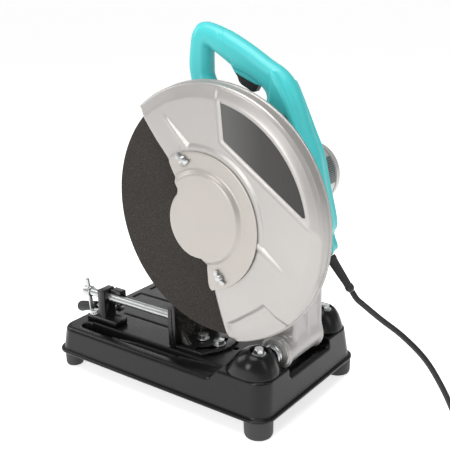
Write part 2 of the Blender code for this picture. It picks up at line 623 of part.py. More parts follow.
def ring(name, axis_yz, bore_r, outer_r, x0, x1, mat, parent, sides=24):
    return add(name, turned("X", axis_yz, (
        (bore_r, x1), (outer_r - 0.0006, x1), (outer_r, x1 - 0.0006), (outer_r, x0 + 0.0006),
        (outer_r - 0.0006, x0), (bore_r, x0)), sides), mat, parent)


motor_axis = (MOTOR_Y, MOTOR_Z)
wheel_axis = (WHEEL_Y, WHEEL_Z)
ring("armature_bearing_front", motor_axis, 0.0040 + RUNNING, 0.0110, 0.0278, 0.0350, STEEL, ARM)
ring("armature_bearing_rear", motor_axis, 0.0040 + RUNNING, 0.0110, -0.1040, -0.0960, STEEL, ARM)
ring("spindle_bearing_inner", wheel_axis, 0.0050 + RUNNING, 0.0130, 0.0278, 0.0370, STEEL, ARM)
ring("spindle_bearing_outer", wheel_axis, SPINDLE_R + RUNNING, 0.0175, 0.0806, 0.0884, STEEL, ARM, 32)


# ---- gears, armature and spindle ---------------------------------------------------------------
def gear_outline(centre, teeth, first_tooth):
    """Straight-sided teeth; first_tooth is the angle of one tooth's middle."""
    pitch_r = GEAR_MODULE * teeth / 2
    points = []
    for i in range(teeth):
        middle = first_tooth + 2 * math.pi * i / teeth
        quarter = math.pi / (2 * teeth)
        for radius, half in ((pitch_r - 1.2 * GEAR_MODULE, 1.60), (pitch_r + 0.9 * GEAR_MODULE, 0.36)):
            angle = middle - half * quarter
            points.append((centre[0] + radius * math.cos(angle), centre[1] + radius * math.sin(angle)))
        for radius, half in ((pitch_r + 0.9 * GEAR_MODULE, 0.36), (pitch_r - 1.2 * GEAR_MODULE, 1.60)):
            angle = middle + half * quarter
            points.append((centre[0] + radius * math.cos(angle), centre[1] + radius * math.sin(angle)))
    return points


spindle = add("spindle", turned("X", wheel_axis, (
    (0.0, 0.1035), (0.0068, 0.1035), (SPINDLE_R, 0.1028), (SPINDLE_R, 0.0802), (0.0092, 0.0798), (0.0092, 0.0745),
    (0.0100, 0.0743), (0.0100, 0.0600), (0.0120, 0.0597), (0.0120, 0.0560), (0.0080, 0.0550), (0.0080, 0.0380),
    (0.0050, 0.0378), (0.0050, 0.0282), (0.0, 0.0282)), 28), STEEL, SPINDLE)
cut(spindle, rod("X", wheel_axis, 0.0041, 0.0850, 0.120, 16))
add("drive_gear", plate("X", gear_outline(wheel_axis, GEAR_TEETH, MOTOR_ANGLE), GEAR_X0 + 0.0001, GEAR_X1,
                        (circle(WHEEL_Y, WHEEL_Z, 0.0100 + GAP / 3, 32),)), STEEL, SPINDLE)
armature = add("armature", turned("X", motor_axis, (
    (0.0, 0.0585), (0.0060, 0.0585), (0.0060, 0.0560), (0.0045, 0.0555), (0.0045, 0.0360), (0.0040, 0.0355),
    (0.0040, 0.0275), (0.0050, 0.0270), (0.0050, -0.0010), (0.0060, -0.0015), (0.0060, -0.0620),
    (0.0150, -0.0640), (0.0150, -0.0840), (0.0060, -0.0850), (0.0060, -0.0955), (0.0040, -0.0957),
    (0.0040, -0.1038), (0.0, -0.1038)), 20), STEEL, ARMATURE)
join(armature, plate("X", gear_outline(motor_axis, PINION_TEETH, MOTOR_ANGLE + math.pi + math.pi / PINION_TEETH), 0.0580, 0.0750))
add("armature_core", turned("X", motor_axis, (
    (0.0062, -0.0060), (0.0200, -0.0060), (0.0240, -0.0100), (0.0240, -0.0560), (0.0190, -0.0600),
    (0.0062, -0.0600)), 20), COPPER, ARMATURE)
FAN_OUTLINE = []
for k in range(10):
    FAN_OUTLINE += arc(MOTOR_Y, MOTOR_Z, 0.0380, 36 * k, 36 * k + 16, 2)
    FAN_OUTLINE += arc(MOTOR_Y, MOTOR_Z, 0.0220, 36 * k + 20, 36 * k + 32, 1)
add("fan", plate("X", FAN_OUTLINE, -0.0010, 0.0070, (circle(MOTOR_Y, MOTOR_Z, 0.0053, 24),)), BLACK_PLASTIC,
    ARMATURE)

add("inner_flange", turned("X", wheel_axis, (
    (SPINDLE_R + 0.0001, 0.0985), (0.0124, 0.0985), (0.0124, 0.0962), (0.0180, 0.0945), (0.0330, 0.0945),
    (0.0340, 0.0962), (FLANGE_R, 0.0962), (FLANGE_R, 0.0935), (0.0300, 0.0905), (SPINDLE_R + 0.0001, 0.0905)), 24),
    ZINC, SPINDLE)
add("cutting_wheel", turned("X", wheel_axis, (
    (WHEEL_BORE_R, WHEEL_X + WHEEL_T / 2), (WHEEL_R, WHEEL_X + WHEEL_T / 2), (WHEEL_R, WHEEL_X - WHEEL_T / 2),
    (WHEEL_BORE_R, WHEEL_X - WHEEL_T / 2)), 64), ABRASIVE, SPINDLE)
add("outer_flange", turned("X", wheel_axis, (
    (SPINDLE_R + 0.0001, 0.1055), (0.0300, 0.1055), (FLANGE_R, 0.1030), (FLANGE_R, 0.0998), (0.0340, 0.0998),
    (0.0330, 0.1012), (0.0140, 0.1012), (0.0130, 0.0998), (SPINDLE_R + 0.0001, 0.0998)), 24), ZINC, SPINDLE)
arbor_bolt = add("arbor_bolt", rod("X", wheel_axis, 0.0098, 0.1072, 0.1135, 6), ZINC, SPINDLE)
join(arbor_bolt, rod("X", wheel_axis, 0.0120, 0.1058, 0.1074, 24))
join(arbor_bolt, rod("X", wheel_axis, 0.0038, 0.0870, 0.1065, 24))


# ---- guard -----------------------------------------------------------------------------------
def guard_rim(radius, steps=30):
    return arc(GUARD_Y, WHEEL_Z, radius, -76.2, 127.9, steps)


EDGE_TOP = mm(((5, 439), (24, 412), (45, 389), (60, 368), (74, 344)))
EDGE_LOW = mm(((110, 240), (121, 207), (128, 181), (135, 159), (142, 141)))
guard_outline = guard_rim(GUARD_R) + EDGE_TOP + arc(WHEEL_Y, WHEEL_Z, 0.068, 139, 271, 10)[1:-1] + EDGE_LOW
guard = add("wheel_guard", plate("X", guard_outline, GUARD_BACK_X, GUARD_FACE_X, bevel=0.002),
            SILVER_PAINT, ARM)
hollow = guard_rim(GUARD_R - GUARD_T) + mm(((-20, 470), (-40, 420), (20, 330), (70, 200), (120, 110)))
cut(guard, plate("X", hollow, 0.080, GUARD_FACE_X - GUARD_T))
cut(guard, rod("X", wheel_axis, 0.0660, 0.110, 0.130, 48))
join(guard, plate("X", mm(((141, 475), (145, 424), (265, 339))) + arc(GUARD_Y, WHEEL_Z, 0.165, 15, 74, 12),
                        GUARD_FACE_X - 0.001, GUARD_FACE_X + 0.0008))
for place in WINGS:
    cut(guard, rod("X", place, 0.0030, 0.100, 0.130, 16))

back_outline = (guard_rim(0.1830) + EDGE_TOP[:-1]
                + arc(WHEEL_Y, WHEEL_Z, 0.062, 130, 262, 12) + mm(((121, 207), (128, 181), (135, 159), (142, 146))))
add("guard_back_plate", plate("X", back_outline, COVER_X1 + GAP, GUARD_BACK_X - GAP,
                              (circle(WHEEL_Y, WHEEL_Z, 0.0420, 32),), bevel=0.0006, segments=1), SILVER_PAINT, ARM)

cover_outline = (arc(0.099, 0.306, COVER_R, -75.0, 121.7, 36)
                 + mm(((52, 381), (58, 370), (65.5, 357), (68.5, 348)))
                 + arc(0.106, 0.306, 0.052, 138, 266, 14)
                 + mm(((108, 244), (111.5, 234), (112, 220), (115, 212))))
hub_cover = add("hub_cover", plate("X", cover_outline, GUARD_FACE_X + GAP, 0.1230, bevel=0.0008, segments=1),
                SILVER_PAINT, ARM)
boss_outer = (0.106, 0.309)
join(hub_cover, turned("X", boss_outer, (
    (0.0, 0.1300), (0.0400, 0.1300), (0.0470, 0.1285), (0.0500, 0.1250), (0.0505, 0.1212), (0.0, 0.1212)), 28))
cut(hub_cover, turned("X", boss_outer, (
    (0.0, 0.1280), (0.0400, 0.1280), (0.0455, 0.1260), (0.0475, 0.1180), (0.0, 0.1180)), 28))
for place in WINGS:
    cut(hub_cover, rod("X", place, 0.0030, 0.110, 0.130, 16))
for place, name in zip(WINGS, ("upper", "lower")):
    axis_obj = empty("wing_axis_" + name, (0.125, *place), ARM)
    wing = add("wing_nut_" + name, turned("X", place, (
        (0.0, 0.1285), (0.0040, 0.1285), (0.0062, 0.1236), (0.0062, 0.1233), (0.0025, 0.1233), (0.0025, 0.1130),
        (0.0, 0.1130)), 16), ZINC, axis_obj)
    blades = plate("X", mm(((-12, 4), (-10, 6.5), (-3.5, 2.2), (3.5, 2.2), (10, 6.5), (12, 4), (9, -2.5), (3.5, -2.2),
                            (-3.5, -2.2), (-9, -2.5))), 0.1245, 0.1275)
    blades.transform(Matrix.Translation((0, *place)))
    blades = about_x(blades, place, -25 if name == "upper" else -50)
    join(wing, blades)


# ---- handle ----------------------------------------------------------------------------------
INNER_EDGE = mm(((215, 250), (197.8, 252))) + arc(MOTOR_Y, MOTOR_Z, 0.0528, 0, 118, 14)
handle_outline = mm((
    (11, 481), (7, 502), (9.5, 520), (13, 536), (17, 549), (23, 559), (28, 563.5), (34, 565), (45, 564), (76, 551),
    (114, 537), (145, 517), (165, 508), (180, 494), (188, 480), (194, 464), (213, 422), (226, 393), (236, 349),
    (246, 310), (248, 291), (243, 279), (250, 259), (238, 248))) + INNER_EDGE + mm((
        (110, 394), (75, 398), (55, 409), (38, 424), (22, 445), (15, 460)))
window = mm(((55, 478), (48, 490), (47, 502), (48, 526), (86, 506), (125, 489), (144, 472), (143, 456), (135, 440),
             (100, 436), (78, 446), (64, 462)))
wide_outline = mm((
    (236, 252), (246, 260), (239.5, 279), (244, 291), (242, 310), (232, 349), (222, 392), (209, 421), (190, 462),
    (176, 490), (163, 503), (154, 494), (150, 470), (141, 436), (128, 428), (98, 426), (68, 438), (52, 458), (34, 466),
    (26, 458), (29, 448), (43, 428), (60, 413), (78, 403), (112, 399))) + INNER_EDGE[::-1] + mm(((216, 253),))
pocket = mm(((84, 488), (84, 513), (90, 528), (121, 527), (123, 506), (131, 500), (131, 474)))
trigger_outline = mm(((86.5, 504), (86, 496), (90, 492.5), (112, 483.5), (116, 473), (120.5, 472), (123, 480),
                      (126.5, 482), (127, 490), (118, 497), (95, 504.5)))
for side, name in ((1, "right"), (-1, "left")):
    half = add("handle_half_" + name, plate("X", handle_outline, HANDLE_X - GRIP_HALF, HANDLE_X + GRIP_HALF,
                                            (window,), bevel=0.0050, segments=2), TEAL, ARM)
    join(half, plate("X", wide_outline, HANDLE_X - HANDLE_HALF, HANDLE_X + HANDLE_HALF, bevel=0.003,
                           segments=1))
    cut(half, plate("X", pocket, HANDLE_X - 0.0085, HANDLE_X + 0.0085))
    far = HANDLE_X - side * 0.060
    near = HANDLE_X + side * GAP / 2
    cut(half, box(min(far, near), max(far, near), -0.05, 0.35, 0.20, 0.60))
    if side < 0:
        cut(half, rod("X", (0.062, 0.536), 0.0058, -0.020, 0.0120, 24))
add("switch_body", box(HANDLE_X - 0.0078, HANDLE_X + 0.0078, 0.0925, 0.1195, 0.5070, 0.5255, 0.001), BLACK_PLASTIC,
    ARM)
add("trigger", plate("X", trigger_outline, HANDLE_X - 0.0075, HANDLE_X + 0.0075, bevel=0.0012), BLACK_PLASTIC,
    TRIGGER)
add("lock_button", turned("X", (0.062, 0.536), (
    (0.0, 0.0070), (0.0054, 0.0070), (0.0054, -0.0035), (0.0044, -0.0045), (0.0, -0.0045)), 16), BLACK_PLASTIC, LOCK)
relief_axis = Vector((0.0, 0.630, -0.777))
relief_start = Vector((HANDLE_X, 0.2456, 0.2518))
relief_end = relief_start + 0.056 * relief_axis
relief = turned("Z", (0.0, 0.0), (
    (0.0, 0.0), (0.0072, 0.0), (0.0072, -0.008), (0.0062, -0.009), (0.0062, -0.016), (0.0068, -0.017),
    (0.0048, -0.055), (0.0042, -0.056), (0.0, -0.056)), 16)
relief.transform(Matrix.Translation(relief_start) @ Matrix.Rotation(math.atan2(0.630, 0.777), 4, "X"))
add("strain_relief", relief, RUBBER, ARM)


# ---- supply cord -----------------------------------------------------------------------------
cord_start = relief_end + 0.0004 * relief_axis
CORD_ROUTE = mm((
    (14.5, 299, 192), (13, 326, 176), (9, 356, 158), (4, 388, 130), (-2, 412, 92), (-8, 432, 50), (-16, 452, 19),
    (-30, 474, 6.0), (-52, 504, 4.6), (-67, 534, 4.6)))
coil_tangent = Vector((COIL_X - 0.0605, COIL_Y - 0.003, 0.0046))
route = [tuple(cord_start), tuple(cord_start + 0.012 * relief_axis), *CORD_ROUTE, tuple(coil_tangent)]
add("cord", tube(smooth_path(route, 0.012), CORD_R, 2), CORD_MATERIAL)
COIL_IN = COIL_R - 0.010
COIL_OUT = COIL_R + 0.010
add("cord_coil", turned("Z", (COIL_X, COIL_Y), (
    (COIL_IN + 0.004, COIL_H), (COIL_OUT - 0.004, COIL_H), (COIL_OUT, COIL_H - 0.004), (COIL_OUT, 0.0045),
    (COIL_OUT - 0.004, 0.0005), (COIL_IN + 0.004, 0.0005), (COIL_IN, 0.0045), (COIL_IN, COIL_H - 0.004)), 24),
    CORD_MATERIAL)
plug = add("plug", turned("Y", (0.019, COIL_X + 0.075), (
    (0.0, COIL_Y + 0.030), (0.0050, COIL_Y + 0.030), (0.0070, COIL_Y + 0.006), (0.0150, COIL_Y - 0.004),
    (0.0180, COIL_Y - 0.022), (0.0160, COIL_Y - 0.037), (0.0125, COIL_Y - 0.040), (0.0, COIL_Y - 0.040)), 16),
    CORD_MATERIAL)
for dx in (-0.0095, 0.0095):
    join(plug, rod("Y", (0.019, COIL_X + 0.075 + dx), 0.0024, COIL_Y - 0.058, COIL_Y - 0.038, 12))


# ---- origin ----------------------------------------------------------------------------------
# Everything above is laid out from the middle of the base. The row's origin is under the middle of
# the whole machine, from the tip of the release lever to the rear of the guard.
ORIGIN_Y = 0.02065
for obj in bpy.context.scene.objects:
    if obj.parent is None:
        obj.location.y -= ORIGIN_Y
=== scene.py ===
import json
import math

import bmesh
import bpy
import numpy as np
from mathutils import Matrix, Vector


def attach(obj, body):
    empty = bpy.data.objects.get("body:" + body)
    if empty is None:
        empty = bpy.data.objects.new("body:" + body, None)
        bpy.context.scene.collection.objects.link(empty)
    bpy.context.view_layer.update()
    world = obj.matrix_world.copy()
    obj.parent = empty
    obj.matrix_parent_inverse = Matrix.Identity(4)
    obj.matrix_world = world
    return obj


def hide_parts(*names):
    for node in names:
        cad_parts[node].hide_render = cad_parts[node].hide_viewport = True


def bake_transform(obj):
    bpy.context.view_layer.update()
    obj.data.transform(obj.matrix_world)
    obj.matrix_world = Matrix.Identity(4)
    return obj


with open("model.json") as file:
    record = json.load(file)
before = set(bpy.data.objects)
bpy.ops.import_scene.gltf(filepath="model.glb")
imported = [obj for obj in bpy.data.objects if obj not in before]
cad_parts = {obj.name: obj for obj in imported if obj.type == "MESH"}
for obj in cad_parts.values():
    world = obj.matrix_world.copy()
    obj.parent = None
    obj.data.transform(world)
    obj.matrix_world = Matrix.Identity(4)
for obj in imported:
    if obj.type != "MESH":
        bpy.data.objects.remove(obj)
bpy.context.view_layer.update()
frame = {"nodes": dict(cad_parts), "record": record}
NODES = frame["nodes"]


CELL = 0.0016     # spacing of the distance-field grids


def mm(points):
    return [tuple(value * 0.001 for value in point) for point in points]


# Shapes below are laid out from the middle of the base; the row's origin lies this far along Y.
ORIGIN_Y = 0.02065
TO_ROW = Matrix.Translation((0.0, -ORIGIN_Y, 0.0))

# ---- the machine's own sizes, as in the CAD ----
PIVOT = (0.177, 0.098)                  # y, z
SPINDLE = (0.109, 0.311)
MOTOR = (0.145, 0.338)
GUARD = (0.1065, 0.311)
GUARD_FACE_X = 0.1187                   # the lowest field of the guard's face
WINGS = {"upper": (0.076, 0.391), "lower": (0.134, 0.231)}
HANDLE_X = 0.015
SCREW_AXIS = (0.066, 0.116)             # x, z
CORD_R = 0.004
SIDES = ((1, "right"), (-1, "left"))
COIL = (-0.010, 0.560)                  # x, y

# ---- camera ----
CAMERA_AT = Vector((0.90699, 0.74429, 0.62843))
YAW, PITCH, ROLL = (math.radians(a) for a in (37.36, 17.90, -1.37))
forward = Vector((-math.cos(YAW) * math.cos(PITCH), -math.sin(YAW) * math.cos(PITCH), -math.sin(PITCH)))
right = forward.cross(Vector((0, 0, 1))).normalized()
upward = right.cross(forward)
cam_x = right * math.cos(ROLL) + upward * math.sin(ROLL)
cam_y = upward * math.cos(ROLL) - right * math.sin(ROLL)
camera = bpy.data.objects.new("camera", bpy.data.cameras.new("camera"))
bpy.context.scene.collection.objects.link(camera)
camera.data.lens = 62.06
camera.data.sensor_width = 36.0
camera.data.clip_end = 200.0
turn = Matrix((cam_x, cam_y, -forward)).transposed().to_4x4()
camera.matrix_world = TO_ROW @ Matrix.Translation(CAMERA_AT) @ turn
bpy.context.scene.camera = camera


# ---- materials ----
def srgb(r, g, b):
    return tuple(((c / 255 + 0.055) / 1.055) ** 2.4 if c > 10 else c / 3295 for c in (r, g, b))


class Nodes:
    """A short way to build one material's node tree."""

    def __init__(self, name):
        self.mat = bpy.data.materials.new(name)
        self.mat.use_nodes = True
        self.tree = self.mat.node_tree
        self.bsdf = self.tree.nodes["Principled BSDF"]
        self.coords = self.new("ShaderNodeTexCoord").outputs["Object"]

    def new(self, kind, **settings):
        node = self.tree.nodes.new(kind)
        for key, value in settings.items():
            setattr(node, key, value)
        return node

    def link(self, a, b):
        self.tree.links.new(a, b)

    def noise(self, scale, detail=4.0, rough=0.6, vector=None):
        node = self.new("ShaderNodeTexNoise")
        node.inputs["Scale"].default_value = scale
        node.inputs["Detail"].default_value = detail
        node.inputs["Roughness"].default_value = rough
        self.link(vector or self.coords, node.inputs["Vector"])
        return node.outputs["Fac"]

    def stretch(self, scale):
        node = self.new("ShaderNodeMapping")
        node.inputs["Scale"].default_value = scale
        self.link(self.coords, node.inputs["Vector"])
        return node.outputs["Vector"]

    def ramp(self, factor, stops):
        node = self.new("ShaderNodeValToRGB")
        elements = node.color_ramp.elements
        while len(elements) < len(stops):
            elements.new(0.5)
        for element, (place, colour) in zip(elements, stops):
            element.position = place
            element.color = (*colour, 1.0) if len(colour) == 3 else colour
        self.link(factor, node.inputs["Fac"])
        return node.outputs["Color"]

    def mask(self, factor, low, high):
        """0 below low, 1 above high."""
        return self.ramp(factor, ((low, (0, 0, 0)), (high, (1, 1, 1))))

    def mix(self, factor, a, b, blend="MIX"):
        node = self.new("ShaderNodeMix", data_type="RGBA", blend_type=blend)
        for socket, value in ((node.inputs["Factor"], factor), (node.inputs[6], a), (node.inputs[7], b)):
            if isinstance(value, (int, float)):
                socket.default_value = value
            elif isinstance(value, tuple):
                socket.default_value = (*value, 1.0)
            else:
                self.link(value, socket)
        return node.outputs[2]

    def span(self, factor, low, high, start=0.0, end=1.0):
        """From low at start to high at end."""
        node = self.new("ShaderNodeMapRange")
        for key, value in (("From Min", start), ("From Max", end), ("To Min", low), ("To Max", high)):
            node.inputs[key].default_value = value
        self.link(factor, node.inputs["Value"])
        return node.outputs["Result"]

    def bump(self, height, distance):
        node = self.new("ShaderNodeBump")
        node.inputs["Strength"].default_value = 1.0
        node.inputs["Distance"].default_value = distance
        self.link(height, node.inputs["Height"])
        return node.outputs["Normal"]

    def edges(self, low, high):
        """1 on convex edges and 0 elsewhere."""
        point = self.new("ShaderNodeNewGeometry").outputs["Pointiness"]
        return self.mask(point, low, high)


def finish_material(n, colour, rough, normal=None, metallic=0.0, coat=0.0, specular=None):
    for name, value in (("Base Color", colour), ("Roughness", rough), ("Metallic", metallic),
                        ("Normal", normal)):
        socket = n.bsdf.inputs[name]
        if value is None:
            continue
        if isinstance(value, (int, float)):
            socket.default_value = value
        elif isinstance(value, tuple):
            socket.default_value = (*value, 1.0)
        else:
            n.link(value, socket)
    n.bsdf.inputs["Coat Weight"].default_value = coat
    n.bsdf.inputs["Coat Roughness"].default_value = 0.12
    if specular is not None:
        n.bsdf.inputs["Specular IOR Level"].default_value = specular
    return n.mat


def varied_paint(name, colour, rough, grain, metallic=0.0, coat=0.0, wear=None, vary=0.10, bump=0.00004,
                 specular=None):
    """Sprayed or moulded surface: slow colour drift, fine grain, smudged gloss and rubbed edges."""
    n = Nodes(name)
    drift = n.noise(9.0, 3.0)
    fine = n.noise(grain, 2.0, 0.7)
    dark = tuple(c * (1 - vary) for c in colour)
    light = tuple(min(1.0, c * (1 + vary)) for c in colour)
    tone = n.ramp(drift, ((0.30, dark), (0.70, light)))
    tone = n.mix(0.5, tone, n.ramp(fine, ((0.35, dark), (0.65, light))))
    shine = n.span(n.noise(38.0, 5.0), rough - 0.07, rough + 0.09)
    if wear is not None:
        rub = n.mix(1.0, n.edges(0.56, 0.66), n.mask(n.noise(240.0, 4.0), 0.46, 0.64), "MULTIPLY")
        tone = n.mix(rub, tone, wear)
    return finish_material(n, tone, shine, n.bump(fine, bump), metallic, coat, specular)


def plated(name, colour, rough, streak=(1, 1, 1)):
    n = Nodes(name)
    vector = n.stretch(streak)
    cloud = n.noise(60.0, 4.0)
    line = n.noise(900.0, 3.0, 0.6, vector)
    tone = n.ramp(cloud, ((0.3, tuple(c * 0.80 for c in colour)), (0.7, colour)))
    shine = n.span(line, rough - 0.06, rough + 0.14)
    return finish_material(n, tone, shine, n.bump(line, 0.00002), 1.0)


def abrasive_material():
    n = Nodes("abrasive_grain")
    grit = n.noise(650.0, 3.0, 0.75)
    coarse = n.new("ShaderNodeTexVoronoi")
    coarse.inputs["Scale"].default_value = 420.0
    n.link(n.coords, coarse.inputs["Vector"])
    speck = n.ramp(coarse.outputs["Distance"], ((0.06, (1, 1, 1)), (0.20, (0, 0, 0))))
    drift = n.noise(14.0, 4.0)
    base = n.ramp(drift, ((0.3, srgb(40, 37, 35)), (0.7, srgb(50, 46, 43))))
    dirt = n.ramp(grit, ((0.36, srgb(22, 21, 20)), (0.50, srgb(46, 43, 40)), (0.66, srgb(76, 70, 63))))
    tone = n.mix(0.62, base, dirt)
    pick = n.mask(n.noise(300.0, 2.0), 0.56, 0.64)
    tone = n.mix(n.mix(1.0, speck, pick, "MULTIPLY"), tone, srgb(132, 122, 106))
    height = n.mix(0.5, grit, coarse.outputs["Distance"])
    return finish_material(n, tone, n.span(grit, 0.70, 0.92), n.bump(height, 0.0006), specular=0.22)


def label_material():
    """Dark printed sheet, darker towards the rear, with a faint metallic grain."""
    n = Nodes("guard_label_print")
    split = n.new("ShaderNodeSeparateXYZ")
    n.link(n.coords, split.inputs[0])
    across = n.span(split.outputs["Y"], 0.0, 1.0, 0.13, 0.25)
    tone = n.ramp(across, ((0.0, srgb(92, 92, 90)), (0.45, srgb(52, 51, 49)),
                                             (1.0, srgb(36, 34, 32))))
    fine = n.noise(900.0, 2.0)
    tone = n.mix(0.25, tone, n.ramp(fine, ((0.3, srgb(34, 33, 32)), (0.7, srgb(84, 83, 81)))))
    return finish_material(n, tone, n.span(fine, 0.34, 0.48), n.bump(fine, 0.00002), 0.25)


def plate_material():
    """Dark rating plate with plain light rules and boxes: no lettering."""
    n = Nodes("rating_plate_print")
    brick = n.new("ShaderNodeTexBrick")
    brick.inputs["Scale"].default_value = 90.0
    brick.inputs["Color1"].default_value = (*srgb(26, 28, 28), 1.0)
    brick.inputs["Color2"].default_value = (*srgb(34, 52, 54), 1.0)
    brick.inputs["Mortar"].default_value = (*srgb(120, 128, 126), 1.0)
    brick.inputs["Mortar Size"].default_value = 0.04
    turned = n.new("ShaderNodeMapping")
    turned.inputs["Rotation"].default_value = (math.radians(-90), 0, 0)
    n.link(n.coords, turned.inputs["Vector"])
    n.link(turned.outputs["Vector"], brick.inputs["Vector"])
    return finish_material(n, brick.outputs["Color"], 0.4)


def winding_material():
    n = Nodes("winding_wire")
    wave = n.new("ShaderNodeTexWave", wave_type="BANDS", bands_direction="X")
    wave.inputs["Scale"].default_value = 260.0
    wave.inputs["Distortion"].default_value = 1.5
    n.link(n.coords, wave.inputs["Vector"])
    tone = n.ramp(wave.outputs["Fac"], ((0.2, srgb(70, 34, 18)), (0.8, srgb(170, 96, 52))))
    return finish_material(n, tone, 0.35, n.bump(wave.outputs["Fac"], 0.0004), 0.8)


LOOK = {
    "base_paint": varied_paint("base_black_paint", srgb(14, 13, 14), 0.28, 1400.0, wear=srgb(54, 52, 50),
                               bump=0.00002, specular=0.33),
    "black_casting": varied_paint("casting_black_paint", srgb(14, 13, 13), 0.24, 900.0, wear=srgb(56, 53, 49),
                                  bump=0.00003, specular=0.32),
    "guard_paint": varied_paint("guard_silver_paint", srgb(174, 171, 168), 0.36, 1100.0, 0.60, vary=0.04),
    "painted_casting": varied_paint("casting_silver_paint", srgb(172, 169, 167), 0.34, 800.0, 0.48, vary=0.05,
                                    bump=0.00008),
    "casting": varied_paint("bare_casting", srgb(176, 176, 174), 0.42, 700.0, 0.7, vary=0.08, bump=0.00012),
    "zinc": plated("zinc_plating", srgb(214, 216, 216), 0.24),
    "steel": plated("machined_steel", srgb(150, 150, 152), 0.30, (1, 8, 8)),
    "abrasive": abrasive_material(),
    "teal_plastic": varied_paint("handle_moulding", srgb(68, 193, 195), 0.36, 1500.0, vary=0.03,
                                 bump=0.00004),
    "black_plastic": varied_paint("black_moulding", srgb(24, 24, 25), 0.40, 1300.0, vary=0.12, bump=0.00006),
    "rubber": varied_paint("moulded_rubber", srgb(34, 33, 34), 0.55, 1100.0, vary=0.14, bump=0.00008),
    "winding": winding_material(),
}
JAW_LOOK = varied_paint("jaw_black_paint", srgb(15, 14, 14), 0.30, 900.0, wear=srgb(120, 114, 106),
                        bump=0.00006)
COVER_LOOK = varied_paint("cover_silver_paint", srgb(174, 169, 163), 0.38, 1100.0, 0.50, vary=0.03)
FOOT_LOOK = varied_paint("foot_rubber", srgb(44, 43, 44), 0.58, 900.0, vary=0.10)
CORD_LOOK = varied_paint("cord_jacket", srgb(20, 20, 21), 0.45, 1200.0, vary=0.15)
SCREW_LOOK = plated("rod_plating", srgb(206, 208, 208), 0.30, (6, 1, 6))
MOTOR_LOOK = varied_paint("motor_silver_paint", srgb(190, 188, 186), 0.32, 800.0, 0.55, vary=0.05,
                          bump=0.00006)
WING_LOOK = plated("wing_plating", srgb(196, 198, 198), 0.30)
LABEL_LOOK = label_material()
PLATE_LOOK = plate_material()


# ---- pieces ----
def link(obj):
    bpy.context.scene.collection.objects.link(obj)
    return obj


def smooth(mesh, angle=35):
    mesh.shade_smooth()
    mesh.set_sharp_from_angle(angle=math.radians(angle))


def piece(name, mesh, look, body, nodes=(), angle=35):
    mesh.transform(TO_ROW)
    obj = link(bpy.data.objects.new(name, mesh))
    mesh.materials.clear()
    mesh.materials.append(look)
    smooth(mesh, angle)
    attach(obj, body)
    if nodes:
        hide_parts(*nodes)
    return obj


def from_bmesh(bm, name, weld=0.000005):
    if weld:
        bmesh.ops.remove_doubles(bm, verts=bm.verts, dist=weld)
    bmesh.ops.recalc_face_normals(bm, faces=bm.faces)
    mesh = bpy.data.meshes.new(name)
    bm.to_mesh(mesh)
    bm.free()
    return mesh


def baked(obj):
    """The object's mesh with its modifiers applied; the object itself goes."""
    graph = bpy.context.evaluated_depsgraph_get()
    mesh = bpy.data.meshes.new_from_object(obj.evaluated_get(graph))
    bpy.data.objects.remove(obj, do_unlink=True)
    return mesh


def grid_mesh(name, rows, closed=False, cap=False):
    """Quads through rows of equal length; closed joins each row's end to its start."""
    bm = bmesh.new()
    verts = [[bm.verts.new(p) for p in row] for row in rows]
    count = len(rows[0])
    for a, b in zip(verts, verts[1:]):
        for i in range(count if closed else count - 1):
            j = (i + 1) % count
            bm.faces.new((a[i], a[j], b[j], b[i]))
    if cap:
        bm.faces.new(verts[0])
        bm.faces.new(verts[-1])
    return from_bmesh(bm, name)


def circle(steps):
    """(cosine, sine) at equal steps round one turn."""
    for k in range(steps):
        a = 2 * math.pi * k / steps
        yield math.cos(a), math.sin(a)


def lathe(name, origin, axis, profile, steps=64):
    """Turned piece: profile is (radius, distance along axis), either end may lie on the axis."""
    axis = Vector(axis).normalized()
    side = axis.orthogonal().normalized()
    other = axis.cross(side)
    rows = []
    for radius, along in profile:
        centre = Vector(origin) + along * axis
        rows.append([centre + radius * (c * side + s * other) for c, s in circle(steps)])
    return grid_mesh(name, rows, closed=True)


def spline(points, per, closed=True):
    """Catmull-Rom points through a flat outline or a path."""
    result = []
    count = len(points)
    for i in range(count if closed else count - 1):
        if closed:
            p = [Vector(points[(i + k) % count]) for k in (-1, 0, 1, 2)]
        else:
            p = [Vector(points[min(max(i + k, 0), count - 1)]) for k in (-1, 0, 1, 2)]
        for k in range(per):
            t = k / per
            a = 2 * p[1] + (p[2] - p[0]) * t
            b = (2 * p[0] - 5 * p[1] + 4 * p[2] - p[3]) * t * t
            c = (3 * p[1] - p[0] - 3 * p[2] + p[3]) * t ** 3
            result.append((a + b + c) / 2)
    if not closed:
        result.append(Vector(points[-1]))
    return result


def poly_curve(name, points, cyclic):
    """A curve of straight spans through the points."""
    curve = bpy.data.curves.new(name, "CURVE")
    line = curve.splines.new("POLY")
    line.points.add(len(points) - 1)
    for point, place in zip(line.points, points):
        point.co = (*place, 1.0)
    line.use_cyclic_u = cyclic
    return curve


def slab(outline, x0, x1, rounding):
    """Plate in the YZ plane with rounded rims, as a mesh."""
    curve = poly_curve("slab", [(y, z, 0.0) for y, z in outline], True)
    curve.dimensions = "2D"
    curve.fill_mode = "BOTH"
    curve.extrude = max(0.0, (x1 - x0) / 2 - rounding)
    curve.bevel_depth = rounding
    curve.bevel_resolution = 3
    curve.offset = -rounding
    mesh = baked(link(bpy.data.objects.new("slab", curve)))
    bm = bmesh.new()
    bm.from_mesh(mesh)
    bmesh.ops.translate(bm, vec=(0, 0, (x0 + x1) / 2), verts=bm.verts)
    flat_to_yz = Matrix(((0, 0, 1, 0), (1, 0, 0, 0), (0, 1, 0, 0), (0, 0, 0, 1)))
    bmesh.ops.transform(bm, matrix=flat_to_yz, verts=bm.verts)
    return from_bmesh(bm, "slab")


